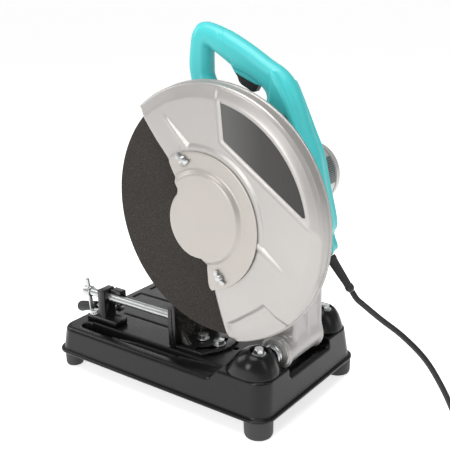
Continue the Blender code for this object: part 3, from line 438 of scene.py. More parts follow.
def arc(cy, cz, radius, start, end, steps):
    points = []
    for k in range(steps + 1):
        a = math.radians(start + (end - start) * k / steps)
        points.append((cy + radius * math.cos(a), cz + radius * math.sin(a)))
    return points


def ease(value):
    value = min(1.0, max(0.0, value))
    return value * value * (3 - 2 * value)


def line_distance(y, z, points):
    """(distance, share of the way along) from a point to a polyline."""
    best, where, run = 1e9, 0.0, 0.0
    lengths = [math.dist(a, b) for a, b in zip(points, points[1:])]
    total = sum(lengths)
    for (ay, az), (by, bz), length in zip(points, points[1:], lengths):
        t = ((y - ay) * (by - ay) + (z - az) * (bz - az)) / (length * length)
        t = min(1.0, max(0.0, t))
        d = math.hypot(y - ay - t * (by - ay), z - az - t * (bz - az))
        if d < best:
            best, where = d, (run + t * length) / total
        run += length
    return best, where


def inside_distance(y, z, corners):
    """Distance to a closed outline: positive inside it, negative outside."""
    inside = False
    for (ay, az), (by, bz) in zip(corners, corners[1:] + corners[:1]):
        if (az > z) != (bz > z) and y < ay + (z - az) * (by - ay) / (bz - az):
            inside = not inside
    distance = line_distance(y, z, corners + corners[:1])[0]
    return distance if inside else -distance


# ---- distance fields ----
def outline_distance(ys, zs, points):
    """Signed distance from grid points to a closed outline, negative inside."""
    best = np.full(ys.shape, 1e9)
    inside = np.zeros(ys.shape, bool)
    for (ay, az), (by, bz) in zip(points, points[1:] + points[:1]):
        ey, ez = by - ay, bz - az
        t = np.clip(((ys - ay) * ey + (zs - az) * ez) / max(ey * ey + ez * ez, 1e-18), 0, 1)
        best = np.minimum(best, np.hypot(ys - ay - t * ey, zs - az - t * ez))
        if az != bz:
            crosses = (az > zs) != (bz > zs)
            inside ^= crosses & (ys < ey * (zs - az) / ez + ay)
    return np.where(inside, -best, best)


def corner(a, b):
    """Two fields as one: the nearer face inside both, the distance to their shared edge outside."""
    return np.minimum(np.maximum(a, b), 0) + np.hypot(np.maximum(a, 0), np.maximum(b, 0))


def round_and(a, b, radius):
    """Where both fields are inside, with the shared edge rounded to the radius."""
    return corner(a + radius, b + radius) - radius


def rounded_prism(flat, xs, centre, half, rounding):
    """Distance field of a plate of the given outline, its rims rounded."""
    return round_and(flat[None, :, :], np.abs(xs[:, None, None] - centre) - half, rounding)


def melt(a, b, reach):
    """Union of two distance fields with a fillet where they meet."""
    h = np.clip(0.5 + 0.5 * (b - a) / reach, 0, 1)
    return b + (a - b) * h - reach * h * (1 - h)


def surface(field, xs, ys, zs, name):
    """Mesh of the zero surface of a distance field on a grid (one vertex in each crossed cell)."""
    inside = field < 0
    total = np.zeros(tuple(n - 1 for n in field.shape) + (3,))
    count = np.zeros(total.shape[:3])
    shape = total.shape[:3]
    for axis in range(3):
        others = [k for k in range(3) if k != axis]
        lo = [slice(None)] * 3
        hi = [slice(None)] * 3
        lo[axis], hi[axis] = slice(0, -1), slice(1, None)
        f0, f1 = field[tuple(lo)], field[tuple(hi)]
        cross = inside[tuple(lo)] != inside[tuple(hi)]
        t = np.where(cross, f0 / np.where(cross, f0 - f1, 1), 0)
        for da in (0, 1):
            for db in (0, 1):
                pick = [slice(None)] * 3
                pick[others[0]] = slice(da, da + shape[others[0]])
                pick[others[1]] = slice(db, db + shape[others[1]])
                c = cross[tuple(pick)]
                place = np.zeros(shape + (3,))
                place[..., axis] = t[tuple(pick)]
                place[..., others[0]] = da
                place[..., others[1]] = db
                total += place * c[..., None]
                count += c
    used = count > 0
    index = np.full(shape, -1)
    index[used] = np.arange(used.sum())
    cell = np.argwhere(used)
    local = total[used] / count[used][:, None] + cell
    steps = np.array([xs[1] - xs[0], ys[1] - ys[0], zs[1] - zs[0]])
    verts = local * steps + np.array([xs[0], ys[0], zs[0]])
    faces = []
    for axis in range(3):
        a, b = [(1, 2), (2, 0), (0, 1)][axis]
        lo = [slice(1, -1)] * 3
        hi = [slice(1, -1)] * 3
        lo[axis], hi[axis] = slice(0, -1), slice(1, None)
        s0, s1 = inside[tuple(lo)], inside[tuple(hi)]
        where = np.argwhere(s0 != s1)
        offset = np.array([1, 1, 1])
        offset[axis] = 0
        base = where + offset
        step_a, step_b = np.eye(3, dtype=int)[a], np.eye(3, dtype=int)[b]
        quads = [base - step_a - step_b, base - step_b, base, base - step_a]
        ids = np.stack([index[tuple(q.T)] for q in quads], axis=1)
        flip = ~s0[tuple(where.T)]
        ids[flip] = ids[flip][:, ::-1]
        faces.append(ids)
    faces = np.concatenate(faces)
    mesh = bpy.data.meshes.new(name)
    mesh.from_pydata(verts.tolist(), [], faces.tolist())
    mesh.validate()
    return mesh


def grid(low, high, step):
    return [np.arange(a, b + step, step) for a, b in zip(low, high)]


def dig(a, b, reach):
    """Distance field a with b taken out of it, the rim of the cut rounded."""
    return -melt(-a, b, reach)


# ---- CAD nodes that stay ----
SLOT = {part["node"]: part["material_slot"] for part in frame["record"]["subparts"]}
WELD = 0.00001


def keep(node, look, bevel):
    """Gives a CAD node its material and, if it has one, a small bevel."""
    obj = NODES[node]
    obj.data.materials.clear()
    obj.data.materials.append(look)
    obj.data.shade_smooth()
    weld = obj.modifiers.new("weld", "WELD")
    weld.merge_threshold = WELD
    if bevel:
        soft = obj.modifiers.new("bevel", "BEVEL")
        soft.width = bevel
        soft.segments = 2
        soft.limit_method = "ANGLE"
        soft.angle_limit = math.radians(32)
        soft.harden_normals = True
        soft.use_clamp_overlap = True


SPECIAL = {
    "fence": JAW_LOOK, "screw_bracket": JAW_LOOK, "half_nut": JAW_LOOK,
    "wing_nut_upper": WING_LOOK, "wing_nut_lower": WING_LOOK,
}
USUAL_BEVEL = 0.0005
BEVELS = {"fence": 0.0006, "drive_gear": 0.0002, "armature": 0.0002, "cord": 0.0, "cord_coil": 0.0,
          "torsion_spring": 0.0, "screw_bracket": 0.0009, "lever_grip": 0.0015}
for node in NODES:
    keep(node, SPECIAL.get(node, LOOK[SLOT[node]]), BEVELS.get(node, USUAL_BEVEL))


# ---- wheel guard ----
# Cut edges as (radius about the guard's centre, angle in degrees).
EDGE_TOP = ((0.045, 129.4), (0.0735, 129.2), (0.0995, 128.4), (0.1303, 129.0), (0.1632, 128.4),
            (0.1865, 127.9))
EDGE_LOW = ((0.045, -88.0), (0.0710, -87.2), (0.1050, -82.1), (0.1318, -80.6), (0.1547, -79.4),
            (0.1737, -78.2), (0.1823, -76.4), (0.1865, -75.6))


def read_table(table, value):
    for (a, fa), (b, fb) in zip(table, table[1:]):
        if value <= b:
            return fa + (fb - fa) * max(0.0, (value - a) / (b - a))
    return table[-1][1]


LABEL_CORNERS = mm(((141, 475), (145, 424), (265, 339)))
LABEL_ARC_R = 0.165
RIDGE_UPPER = mm(((40, 450), (58, 431), (80, 409)))
RIDGE_LOWER = mm(((243, 252), (217, 272), (190, 292)))
# the lowered field at the guard's foot, running out past the rim
RECESS = mm(((137, 163), (143, 128), (160, 100), (300, 100), (300, 147), (229, 191), (202, 209), (188.5, 198),
             (173, 187), (156, 175)))


INNER_R = 0.0665                        # the modelled face starts inside the hub cover
FACE_R = 0.1810                         # the face ends and the bend to the wall begins
LEAN_FROM_R = 0.1645                    # the face leans back beyond this radius
LEAN_SLOPE = 0.30
LEAN_SOFT = 0.0015
WALL_R = 0.1847
WALL_FOOT_X = 0.0985
WALL_FLARE = 0.0018
GUARD_SHEET = 0.0022
HUB = (0.099, 0.306)                    # middle of the round plateau and of the hub cover's rim


def crest(y, z, points, half, height):
    """A pressed crease along a line: slight at its first point, widest and highest at its last."""
    d, t = line_distance(y, z, points)
    grown = 0.34 + 0.66 * t
    return height * min(1.0, t * 6) * grown * ease(1 - d / (half * grown))


def recess_depth(y, z):
    return 0.0066 * ease(inside_distance(y, z, RECESS) / 0.0082)


def guard_relief(y, z):
    """How far the pressed face stands out from its lowest field, in metres."""
    radius = math.hypot(y - GUARD[0], z - GUARD[1])
    # the label stands on a raised field with sloping sides
    left = (z - LABEL_CORNERS[1][1]) / (LABEL_CORNERS[0][1] - LABEL_CORNERS[1][1])
    edge_y = LABEL_CORNERS[1][0] + (LABEL_CORNERS[0][0] - LABEL_CORNERS[1][0]) * left
    d_left = y - edge_y
    (ay, az), (by, bz) = LABEL_CORNERS[1], LABEL_CORNERS[2]
    length = math.dist((ay, az), (by, bz))
    d_low = ((by - ay) * (z - az) - (bz - az) * (y - ay)) / length
    d_field = min(d_left, d_low)
    field = ease((d_field + 0.0118) / 0.0065) * ease((0.1870 - radius) / 0.020)
    field -= 0.34 * ease((d_field + 0.0052) / 0.0040) * ease((0.1690 - radius) / 0.0030)
    # a round plateau about the hub cover
    hub = math.hypot(y - HUB[0], z - HUB[1])
    turn = math.degrees(math.atan2(z - HUB[1], y - HUB[0]))
    plateau = 0.0019 * ease((0.1080 - hub) / 0.0040) * ease((turn + 26) / 30) * ease((109 - turn) / 8)
    # creases that taper away from the plateau
    upper = crest(y, z, RIDGE_UPPER, 0.0085, 0.0030)
    lower = crest(y, z, RIDGE_LOWER, 0.0085, 0.0030)
    rise = max(0.0034 * field, plateau, upper, lower)
    rise -= recess_depth(y, z)
    # the face leans back beyond a crease near the rim
    lean = max(0.0, radius - LEAN_FROM_R)
    lean = LEAN_SLOPE * (math.sqrt(lean * lean + LEAN_SOFT ** 2) - LEAN_SOFT)
    return rise - lean


def guard_rows():
    rows = []
    steps = 250
    rim = [(INNER_R + (FACE_R - INNER_R) * k / 74, GUARD_FACE_X, True) for k in range(75)]
    brink = GUARD_FACE_X - LEAN_SLOPE * (FACE_R - LEAN_FROM_R - LEAN_SOFT)
    for k in range(1, 9):
        a = math.radians(15 + 75 * k / 8)
        rim.append((0.1797 + 0.0050 * math.sin(a), brink - 0.0048 * (1 - math.cos(a)) + 0.0002, False))
    wall_x = rim[-1][1]
    for k in range(1, 7):
        rim.append((WALL_R, wall_x - (wall_x - WALL_FOOT_X) * k / 6, False))
    for k in range(1, 6):
        a = math.radians(90 * k / 5)
        rim.append((WALL_R + WALL_FLARE * (1 - math.cos(a)), WALL_FOOT_X - WALL_FLARE * math.sin(a), False))
    rim.append((0.1866, 0.0948, False))
    for radius, x, face in rim:
        low = read_table(EDGE_LOW, radius)
        high = read_table(EDGE_TOP, radius)
        row = []
        for k in range(steps + 1):
            a = math.radians(low + (high - low) * k / steps)
            y = GUARD[0] + radius * math.cos(a)
            z = GUARD[1] + radius * math.sin(a)
            place = x
            if face:
                place += guard_relief(y, z)
                near = min(k, steps - k) / steps * math.radians(high - low) * radius
                place -= 0.0012 * ease(1 - near / 0.0035)
            else:
                # the wall takes up the recess's depth towards its foot
                at_rim = (GUARD[0] + FACE_R * math.cos(a), GUARD[1] + FACE_R * math.sin(a))
                place -= recess_depth(*at_rim) * max(0.0, (x - WALL_FOOT_X) / (brink - WALL_FOOT_X))
            row.append((place, y, z))
        rows.append(row)
    return rows


guard_mesh = grid_mesh("wheel_guard_shell", guard_rows())
guard = piece("guard_shell", guard_mesh, LOOK["guard_paint"], "arm", ("wheel_guard",), 60)
wall = guard.modifiers.new("sheet", "SOLIDIFY")
wall.thickness = GUARD_SHEET
wall.offset = -1.0
wall.use_even_offset = False


def label_mesh():
    """The printed label, lying on the raised field of the guard."""
    start = math.degrees(math.atan2(LABEL_CORNERS[0][1] - GUARD[1], LABEL_CORNERS[0][0] - GUARD[0]))
    end = math.degrees(math.atan2(LABEL_CORNERS[2][1] - GUARD[1], LABEL_CORNERS[2][0] - GUARD[0]))
    top = arc(*GUARD, LABEL_ARC_R, start, end, 60)
    low = []
    first, middle, last = (Vector(place) for place in LABEL_CORNERS)
    split = 0.26
    for k in range(61):
        t = k / 60
        if t < split:
            low.append(first.lerp(middle, t / split))
        else:
            low.append(middle.lerp(last, (t - split) / (1 - split)))
    rows = []
    for k in range(31):
        row = []
        for a, b in zip(top, low):
            y, z = b.lerp(Vector(a), k / 30)
            row.append((GUARD_FACE_X + guard_relief(y, z) + 0.00035, y, z))
        rows.append(row)
    return grid_mesh("guard_label", rows)


piece("guard_label", label_mesh(), LABEL_LOOK, "arm")


# ---- hub cover ----
COVER_CENTRE = (0.120, 0.309)           # a point from which the whole outline can be seen
COVER_X = 0.1232
COVER_EDGE_X = 0.1211
COVER_RISE = 0.0060
BOSS_FRONT = (0.106, 0.306)
BOSS_REAR = (0.106, 0.313)
BOSS_R = 0.0525
COVER_LAYERS = 54
COVER_OUTLINE = (arc(*HUB, 0.0982, -74, 119, 60)
                 + mm(((51, 386), (52.5, 381), (58, 370.5), (64, 360), (69.5, 350.5), (69.6, 347)))
                 + arc(*BOSS_FRONT, BOSS_R, 136, 240, 28)
                 + mm(((88, 257.0), (98, 255.6), (108, 255.4), (113, 251.5), (113.6, 246), (112.8, 238),
                       (113.5, 228), (114, 217.5), (116, 211.8), (120, 209.0))))


def spaced(points, step):
    """The closed outline with extra points so that none are further apart than step."""
    result = []
    for a, b in zip(points, points[1:] + points[:1]):
        pieces = max(1, math.ceil(math.dist(a, b) / step))
        result += [tuple(Vector(a).lerp(Vector(b), k / pieces)) for k in range(pieces)]
    return result


def cover_relief(y, z, inset):
    d_front = math.dist((y, z), BOSS_FRONT)
    d_rear = math.dist((y, z), BOSS_REAR)
    rise = COVER_RISE * ease((0.0690 - d_rear) / 0.0085)
    if d_front < BOSS_R:
        rise = max(rise, COVER_RISE * ease((0.0560 - d_front) / 0.0045))
    rise -= 0.0006 * ease(1 - inset / 0.0022)
    for place in WINGS.values():
        rise -= 0.0010 * ease((0.0105 - math.dist((y, z), place)) / 0.0030)
    return rise


def cover_rows():
    edge = spaced(COVER_OUTLINE, 0.0022)
    reach = [math.dist(p, COVER_CENTRE) for p in edge]
    rows = []
    for layer in range(COVER_LAYERS):
        share = max(0.004, (layer / (COVER_LAYERS - 1)) ** 0.8)
        row = []
        for (py, pz), far in zip(edge, reach):
            y = COVER_CENTRE[0] + share * (py - COVER_CENTRE[0])
            z = COVER_CENTRE[1] + share * (pz - COVER_CENTRE[1])
            row.append((COVER_X + cover_relief(y, z, (1 - share) * far), y, z))
        rows.append(row)
    rows.append([(COVER_EDGE_X, py, pz) for py, pz in edge])
    return rows


piece("hub_cover_plate", grid_mesh("hub_cover_plate", cover_rows(), closed=True), COVER_LOOK, "arm",
              ("hub_cover",), 50)


# ---- cutting wheel ----
WHEEL_X = 0.098
wheel_profile = [(0.0128, -0.0016), (0.1762, -0.0016), (0.1773, -0.0011), (0.1775, 0.0), (0.1773, 0.0011),
                 (0.1762, 0.0016), (0.0128, 0.0016)]
piece("abrasive_disc", lathe("abrasive_disc", (WHEEL_X, *SPINDLE), (1, 0, 0), wheel_profile, 180),
              LOOK["abrasive"], "spindle", ("cutting_wheel",), 40)


# ---- handle ----
INNER_EDGE = mm(((215, 250), (198.6, 252))) + arc(*MOTOR, 0.0535, 0, 118, 16)
GRIP_OUTLINE = mm((
    (13, 481), (10, 502), (11.5, 520), (14, 536), (17, 549), (23, 558), (28, 563), (34, 565), (46, 564.5),
    (78, 554.5), (114, 537), (148, 517), (167, 507), (181, 495), (190, 481), (198, 464), (214, 422),
    (226, 393), (236, 349), (246, 310), (248, 291), (243, 279), (250, 259), (238, 248))) + INNER_EDGE + mm((
        (110, 394), (75, 398), (55, 409), (38, 424), (22, 445), (15, 460)))
WINDOW = mm(((55, 478), (48, 490), (47, 502), (48, 526), (52, 527), (86, 506), (88, 499), (93, 500),
             (125, 488), (144, 472), (143, 456), (135, 440), (100, 436), (78, 446), (64, 462)))
GRIP_HALF = 0.0163
WIDE_HALF = 0.0250
CUP_OUTLINE = mm(((86, 512), (91, 499), (95, 496), (129, 482.5), (135, 483), (138, 491), (132, 512),
                  (96, 522)))
POCKET_OUTLINE = mm(((186, 449), (196.5, 428), (210, 395), (220, 351), (222, 320), (212, 316), (203, 350),
                     (186, 392), (181, 424)))
TRIGGER_OUTLINE = mm(((90, 502), (93, 496.5), (96.5, 492), (99, 486), (103, 481.5), (112, 477), (120, 472.8),
                      (126, 472.6), (129.5, 477), (131, 483), (127, 489), (110, 499), (97, 504)))
WIDE_OUTLINE = mm((
    (236, 252), (247, 260), (240.5, 279), (245, 291), (243, 310), (233, 349), (223, 392), (210, 421),
    (191, 462), (180, 484), (171, 497), (165, 503), (161.5, 505), (160, 496), (159.5, 480), (157, 462),
    (149, 442), (134, 430), (98, 426), (68, 438), (52, 458), (34, 466), (24, 462), (26, 448), (41, 427),
    (58, 412), (77, 401), (112, 397))) + INNER_EDGE[::-1]


def handle_field():
    xs, ys, zs = grid((HANDLE_X - 0.030, 0.000, 0.242), (HANDLE_X + 0.030, 0.258, 0.572), CELL)
    yy, zz = np.meshgrid(ys, zs, indexing="ij")

    def flat(points, per=3):
        return outline_distance(yy, zz, [tuple(p) for p in spline(points, per)])

    grip_flat = np.maximum(flat(GRIP_OUTLINE), -flat(WINDOW))
    grip = rounded_prism(grip_flat, xs, HANDLE_X, GRIP_HALF, 0.0150)
    wide = rounded_prism(flat(WIDE_OUTLINE), xs, HANDLE_X, WIDE_HALF, 0.0060)
    # its top slopes down towards the far side
    slope = (zs[None, None, :] - 0.4970 - 0.40 * (xs[:, None, None] - HANDLE_X)) / 1.08
    wide = np.maximum(wide, slope)
    body = melt(grip, wide, 0.0035)
    # the trigger's housing under the bar
    cup = rounded_prism(flat(CUP_OUTLINE, 2), xs, HANDLE_X + 0.0010, 0.0085, 0.0030)
    body = melt(body, cup, 0.0020)
    # a long pocket sunk into each side of the spine, beside the guard
    pocket = flat(POCKET_OUTLINE, 2)
    sunk = np.maximum(pocket[None, :, :], 0.0185 - np.abs(xs[:, None, None] - HANDLE_X))
    body = dig(body, sunk, 0.0025)
    # two shallow collar lines round the bar
    x, y, z = np.meshgrid(xs, ys, zs, indexing="ij")
    for at in (0.078, 0.083):
        ring = np.abs((y - at) * 0.92 + (z - 0.530) * 0.38) - 0.0007
        body = dig(body, np.maximum(ring, -0.0009 - body), 0.0008)
    return body, xs, ys, zs


def handle_halves():
    field, xs, ys, zs = handle_field()
    whole = surface(field, xs, ys, zs, "handle")
    obj = link(bpy.data.objects.new("handle", whole))
    relax = obj.modifiers.new("relax", "SMOOTH")
    relax.factor = 0.5
    relax.iterations = 3
    whole = baked(obj)
    for side, name in SIDES:
        bm = bmesh.new()
        bm.from_mesh(whole)
        place = Vector((HANDLE_X + side * 0.0002, 0, 0))
        bmesh.ops.bisect_plane(bm, geom=bm.verts[:] + bm.edges[:] + bm.faces[:], plane_co=place,
                               plane_no=(side, 0, 0), clear_inner=True)
        rim = [e for e in bm.edges if e.is_boundary]
        bmesh.ops.triangle_fill(bm, edges=rim, use_beauty=True, normal=(-side, 0, 0))
        mesh = from_bmesh(bm, "handle_shell_" + name, 0.0)
        piece("handle_shell_" + name, mesh, LOOK["teal_plastic"], "arm", ("handle_half_" + name,),
              60)


handle_halves()
trigger_mesh = slab(spline(TRIGGER_OUTLINE, 3), HANDLE_X - 0.0040, HANDLE_X + 0.0078, 0.0016)
piece("trigger_lever", trigger_mesh, LOOK["black_plastic"], "trigger", ("trigger",), 50)


# ---- base ----
TABLE_Z = 0.0708
BASE_MID_Y = 0.0006
WALL_HALF = (0.1315, 0.2096)
LIP_HALF = (0.1370, 0.2148)
LIP_HALF_T = 0.0028
PRESSING = 0.0042
LIP_Z = 0.0275
BLOCK_Z = 0.0850
SLOT_X = (0.0865, 0.1105)
GROOVES = (((-33, -187), (-52, -187), (-52, 110)), ((-78, -186), (-96.5, -186), (-96.5, 90)),
           ((30, -147), (30, -30)))


def rounded_box_flat(x, y, half_x, half_y, radius):
    """Signed distance in plan from a rectangle with round corners, centred on the origin."""
    return corner(np.abs(x) - (half_x - radius), np.abs(y) - (half_y - radius)) - radius


def base_field():
    xs, ys, zs = grid((-0.1415, -0.2175, 0.0240), (0.1415, 0.2195, 0.0890), CELL)
    x = xs[:, None, None]
    y = ys[None, :, None]
    z = zs[None, None, :]
    # drawn walls: they lean in towards the table
    draft = (z - 0.034) * 0.17
    walls = rounded_box_flat(x, y - BASE_MID_Y, WALL_HALF[0] - draft, WALL_HALF[1] - 0.4 * draft, 0.024)
    field = round_and(walls, z - TABLE_Z, 0.0060)
    front = 0.1120 + (z - TABLE_Z) * 0.8
    for side in (-1, 1):
        block = rounded_box_flat(x - side * 0.1050, y - (front + 0.2300) / 2, 0.0470, (0.2300 - front) / 2,
                                 0.012)
        block = np.maximum(block, walls)
        field = melt(field, round_and(block, z - BLOCK_Z, 0.0022), 0.0050)
    field = np.maximum(field, walls)
    # the long slot for the wheel, its floor rising to the rear
    slot_floor = 0.0520 + 0.0090 * np.clip((y + 0.165) / 0.100, 0, 1) + 0.0080 * np.clip((y - 0.004) / 0.108,
                                                                                         0, 1)
    centre = (SLOT_X[0] + SLOT_X[1]) / 2
    half = (SLOT_X[1] - SLOT_X[0]) / 2
    plan = np.hypot(x - centre, np.maximum(-0.1662 - y, 0)) - half - 0.25 * (z - TABLE_Z)
    plan = np.maximum(plan, y - 0.112)
    field = dig(field, np.maximum(plan, slot_floor - z), 0.0018)
    # the well under the arm's barrel
    well = rounded_box_flat(x, y - 0.170, 0.0600, 0.0265, 0.006)
    field = dig(field, np.maximum(well, 0.0665 - z), 0.0016)
    flat_x, flat_y = xs[:, None], ys[None, :]
    line = np.full((len(xs), len(ys)), 1.0)
    for groove in GROOVES:
        points = mm(groove)
        for (ax, ay), (bx, by) in zip(points, points[1:]):
            length = math.dist((ax, ay), (bx, by))
            t = np.clip(((flat_x - ax) * (bx - ax) + (flat_y - ay) * (by - ay)) / length ** 2, 0, 1)
            line = np.minimum(line, np.hypot(flat_x - ax - t * (bx - ax), flat_y - ay - t * (by - ay)))
    field = dig(field, np.maximum(line[:, :, None] - 0.0021, TABLE_Z - 0.0028 - z), 0.0010)
    for hx, hy in ((0.028, 0.089), (0.0755, -0.176)):
        hole = np.hypot(x - hx, y - hy) - 0.0046
        field = dig(field, hole, 0.0008)
    # the rolled lip at the foot of the walls
    lip = rounded_box_flat(x, y - BASE_MID_Y, *LIP_HALF, 0.028)
    lip = round_and(lip, np.abs(z - (LIP_Z + LIP_HALF_T)) - LIP_HALF_T, 0.0024)
    shell = np.maximum(field, -(field + PRESSING))
    field = melt(shell, np.maximum(lip, -(walls + PRESSING)), 0.0015)
    return np.maximum(field, LIP_Z - z), xs, ys, zs


piece("base_shell", surface(*base_field(), "base_shell"), LOOK["base_paint"], "base", ("base_pan",),
      50)


FOOT_TOP = LIP_Z + 0.0015
for name, x, y, radius in (("front_right", 0.1135, -0.1915, 0.0148), ("front_left", -0.1135, -0.1915, 0.0148),
                           ("rear_right", 0.1140, 0.1905, 0.0212), ("rear_left", -0.1140, 0.1905, 0.0212)):
    foot = lathe("foot", (x, y, 0.0), (0, 0, 1),
                 [(0.0, 0.0), (radius - 0.0040, 0.0), (radius - 0.0016, 0.0010), (radius - 0.0004, 0.0034),
                  (radius, 0.0060), (radius + 0.0004, FOOT_TOP), (0.0, FOOT_TOP)], 64)
    piece("rubber_foot_" + name, foot, FOOT_LOOK, "base", ("foot_" + name,), 40)


# ---- arm ----
def tube_field(x, y, z, centre, radius, x0, x1, rounding):
    """Round bar along X from x0 to x1."""
    flat = np.hypot(y - centre[0], z - centre[1]) - radius
    return round_and(flat, np.abs(x - (x0 + x1) / 2) - (x1 - x0) / 2, rounding)


def box_field(x, y, z, low, high, rounding):
    a = np.abs(x - (low[0] + high[0]) / 2) - (high[0] - low[0]) / 2 + rounding
    b = np.abs(y - (low[1] + high[1]) / 2) - (high[1] - low[1]) / 2 + rounding
    c = np.abs(z - (low[2] + high[2]) / 2) - (high[2] - low[2]) / 2 + rounding
    outside = np.sqrt(np.maximum(a, 0) ** 2 + np.maximum(b, 0) ** 2 + np.maximum(c, 0) ** 2)
    return np.minimum(np.maximum(np.maximum(a, b), c), 0) + outside - rounding


def arm_field():
    xs, ys, zs = grid((-0.0540, 0.0740, 0.0660), (0.0580, 0.2060, 0.3960), CELL)
    x, y, z = xs[:, None, None], ys[None, :, None], zs[None, None, :]
    barrel = tube_field(x, y, z, PIVOT, 0.0240, -0.0450, 0.0520, 0.0012)
    # the stalk widens into the barrel at its foot
    flare = 0.0045 * np.clip((0.150 - z) / 0.045, 0, 1) ** 2
    stalk = box_field(x, y, z, (-0.0460, 0.1560, 0.0980), (0.0310, 0.1965, 0.2880), 0.0040) - flare
    arm = melt(barrel, stalk, 0.0090)
    for low, high in (((-0.0460, 0.190, 0.108), (-0.0380, 0.1995, 0.270)),
                      ((-0.0085, 0.190, 0.108), (-0.0035, 0.1995, 0.262)),
                      ((0.0245, 0.190, 0.116), (0.0310, 0.1990, 0.262))):
        arm = melt(arm, box_field(x, y, z, low, high, 0.0018), 0.0030)
    for x0, x1 in ((0.0425, 0.0475), (-0.0450, -0.0405)):
        arm = melt(arm, tube_field(x, y, z, PIVOT, 0.0270, x0, x1, 0.0012), 0.0012)
    yy, zz = y[0], z[0]
    big = np.hypot(yy - MOTOR[0], zz - MOTOR[1]) - 0.052
    small = np.hypot(yy - SPINDLE[0], zz - SPINDLE[1]) - 0.024
    head = melt(big, small, 0.020)[None, :, :]
    head = round_and(head, np.abs(x) - 0.0378, 0.0030)
    arm = melt(arm, head, 0.0060)
    inside = np.hypot(yy - MOTOR[0], zz - MOTOR[1])[None, :, :] - 0.0440
    arm = dig(arm, inside, 0.0010)
    bore = np.hypot(yy - PIVOT[0], zz - PIVOT[1])[None, :, :] - 0.0100
    return dig(arm, bore, 0.0010), xs, ys, zs


piece("arm_shell", surface(*arm_field(), "arm_shell"), LOOK["painted_casting"], "arm", ("arm_casting",),
      50)


# ---- bolts ----
def hex_head(x, y, z, across, height, washer_r):
    """Bolt head with a chamfered top on a plain washer, standing on the level z."""
    bm = bmesh.new()
    washer = lathe("washer", (x, y, z), (0, 0, 1), [
        (0.0, 0.0), (washer_r, 0.0), (washer_r + 0.0001, 0.0004), (washer_r - 0.0001, 0.0015), (0.0, 0.0016)],
                   40)
    bm.from_mesh(washer)
    tip = across / math.sqrt(3)
    rows = []
    for level, cap in ((0.0016, tip), (0.0022 + height * 0.62, tip), (0.0016 + height, across * 0.46)):
        row = []
        for k in range(48):
            a = 2 * math.pi * k / 48
            flat = across / 2 / math.cos((a % (math.pi / 3)) - math.pi / 6)
            reach = min(flat, cap)
            row.append((x + reach * math.cos(a + 0.35), y + reach * math.sin(a + 0.35), z + level))
        rows.append(row)
    bm.from_mesh(grid_mesh("head", rows, closed=True, cap=True))
    return from_bmesh(bm, "hex_head", 0.0)


CAP_BOLT = (0.0930, 0.178, 0.1150)      # the right cap's bolt, on its seat
for side, name in SIDES:
    bolt = hex_head(side * CAP_BOLT[0], *CAP_BOLT[1:], 0.0128, 0.0078, 0.0102)
    piece("cap_bolt_" + name, bolt, LOOK["zinc"], "base", ("pivot_cap_bolt_" + name,), 28)


# ---- pivot caps ----
CAP_PROFILE = mm(((112, 40.0), (120.5, 79.0), (129, 91), (143, 109), (155, 118.5), (171, 123), (186, 119.5),
                  (196, 110), (203, 95), (207, 78), (207, 40.0)))


def pivot_cap(side):
    low = (0.0570, 0.108, 0.0760) if side > 0 else (-0.1270, 0.108, 0.0760)
    high = (0.1270, 0.212, 0.1290) if side > 0 else (-0.0570, 0.212, 0.1290)
    xs, ys, zs = grid(low, high, CELL * 0.7)
    yy, zz = np.meshgrid(ys, zs, indexing="ij")
    flat = outline_distance(yy, zz, [tuple(p) for p in spline(CAP_PROFILE, 4)])
    field = rounded_prism(flat, xs, side * 0.0918, 0.0325, 0.0300)
    x, y, z = np.meshgrid(xs, ys, zs, indexing="ij")
    well = np.hypot(x - side * CAP_BOLT[0], y - CAP_BOLT[1]) - 0.0125
    well = np.maximum(well, CAP_BOLT[2] - z)
    field = dig(field, well, 0.0025)
    bore = np.maximum(np.hypot(y - PIVOT[0], z - PIVOT[1]) - 0.0082, side * x - 0.0862)
    field = np.maximum(field, -bore)
    field = np.maximum(field, BLOCK_Z + 0.0003 - z)
    return surface(field, xs, ys, zs, "cap")


for side, name in SIDES:
    piece("pivot_cap_shell_" + name, pivot_cap(side), LOOK["black_casting"], "base", ("pivot_cap_" + name,),
          50)


# ---- vice screw ----
ROD_R = 0.0067
ROD_START_Y = -0.0037


def screw_rows():
    """The rod, with a fine rolled thread that shows as a faint texture."""
    x, z = SCREW_AXIS
    rows = []
    pitch, sides, length = 0.0030, 36, 0.1828
    count = int(length / pitch * 6)
    for i in range(count + 1):
        y = ROD_START_Y - length * i / count
        row = []
        for k, (c, s) in enumerate(circle(sides)):
            phase = (y / pitch + k / sides) % 1.0
            depth = 0.00010 * (1 - abs(2 * phase - 1))
            if i == 0 or i == count:
                depth = 0.0008
            r = ROD_R - depth
            row.append((x + r * c, y, z + r * s))
        rows.append(row)
    return rows


thread = grid_mesh("vice_thread", screw_rows(), closed=True, cap=True)
hub = lathe("vice_hub", (SCREW_AXIS[0], 0, SCREW_AXIS[1]), (0, 1, 0),
            [(0.0, -0.1866), (0.0070, -0.1866), (0.0088, -0.1876), (0.0093, -0.1890), (0.0093, -0.2004),
             (0.0088, -0.2018), (0.0075, -0.2027), (0.0, -0.2027)], 40)
bm = bmesh.new()
bm.from_mesh(thread)
bm.from_mesh(hub)
screw = from_bmesh(bm, "vice_screw_threaded", 0.0)
piece("vice_screw_threaded", screw, SCREW_LOOK, "screw", ("vice_screw",), 30)


# ---- vice jaw and T-bar ----
jaw_mesh = slab(mm(((-3.5, 71.8), (3.5, 71.8), (3.5, 136.5), (-3.5, 136.5))), 0.0225, 0.0810, 0.0009)
piece("jaw_face_plate", jaw_mesh, JAW_LOOK, "jaw", ("jaw_plate",), 30)

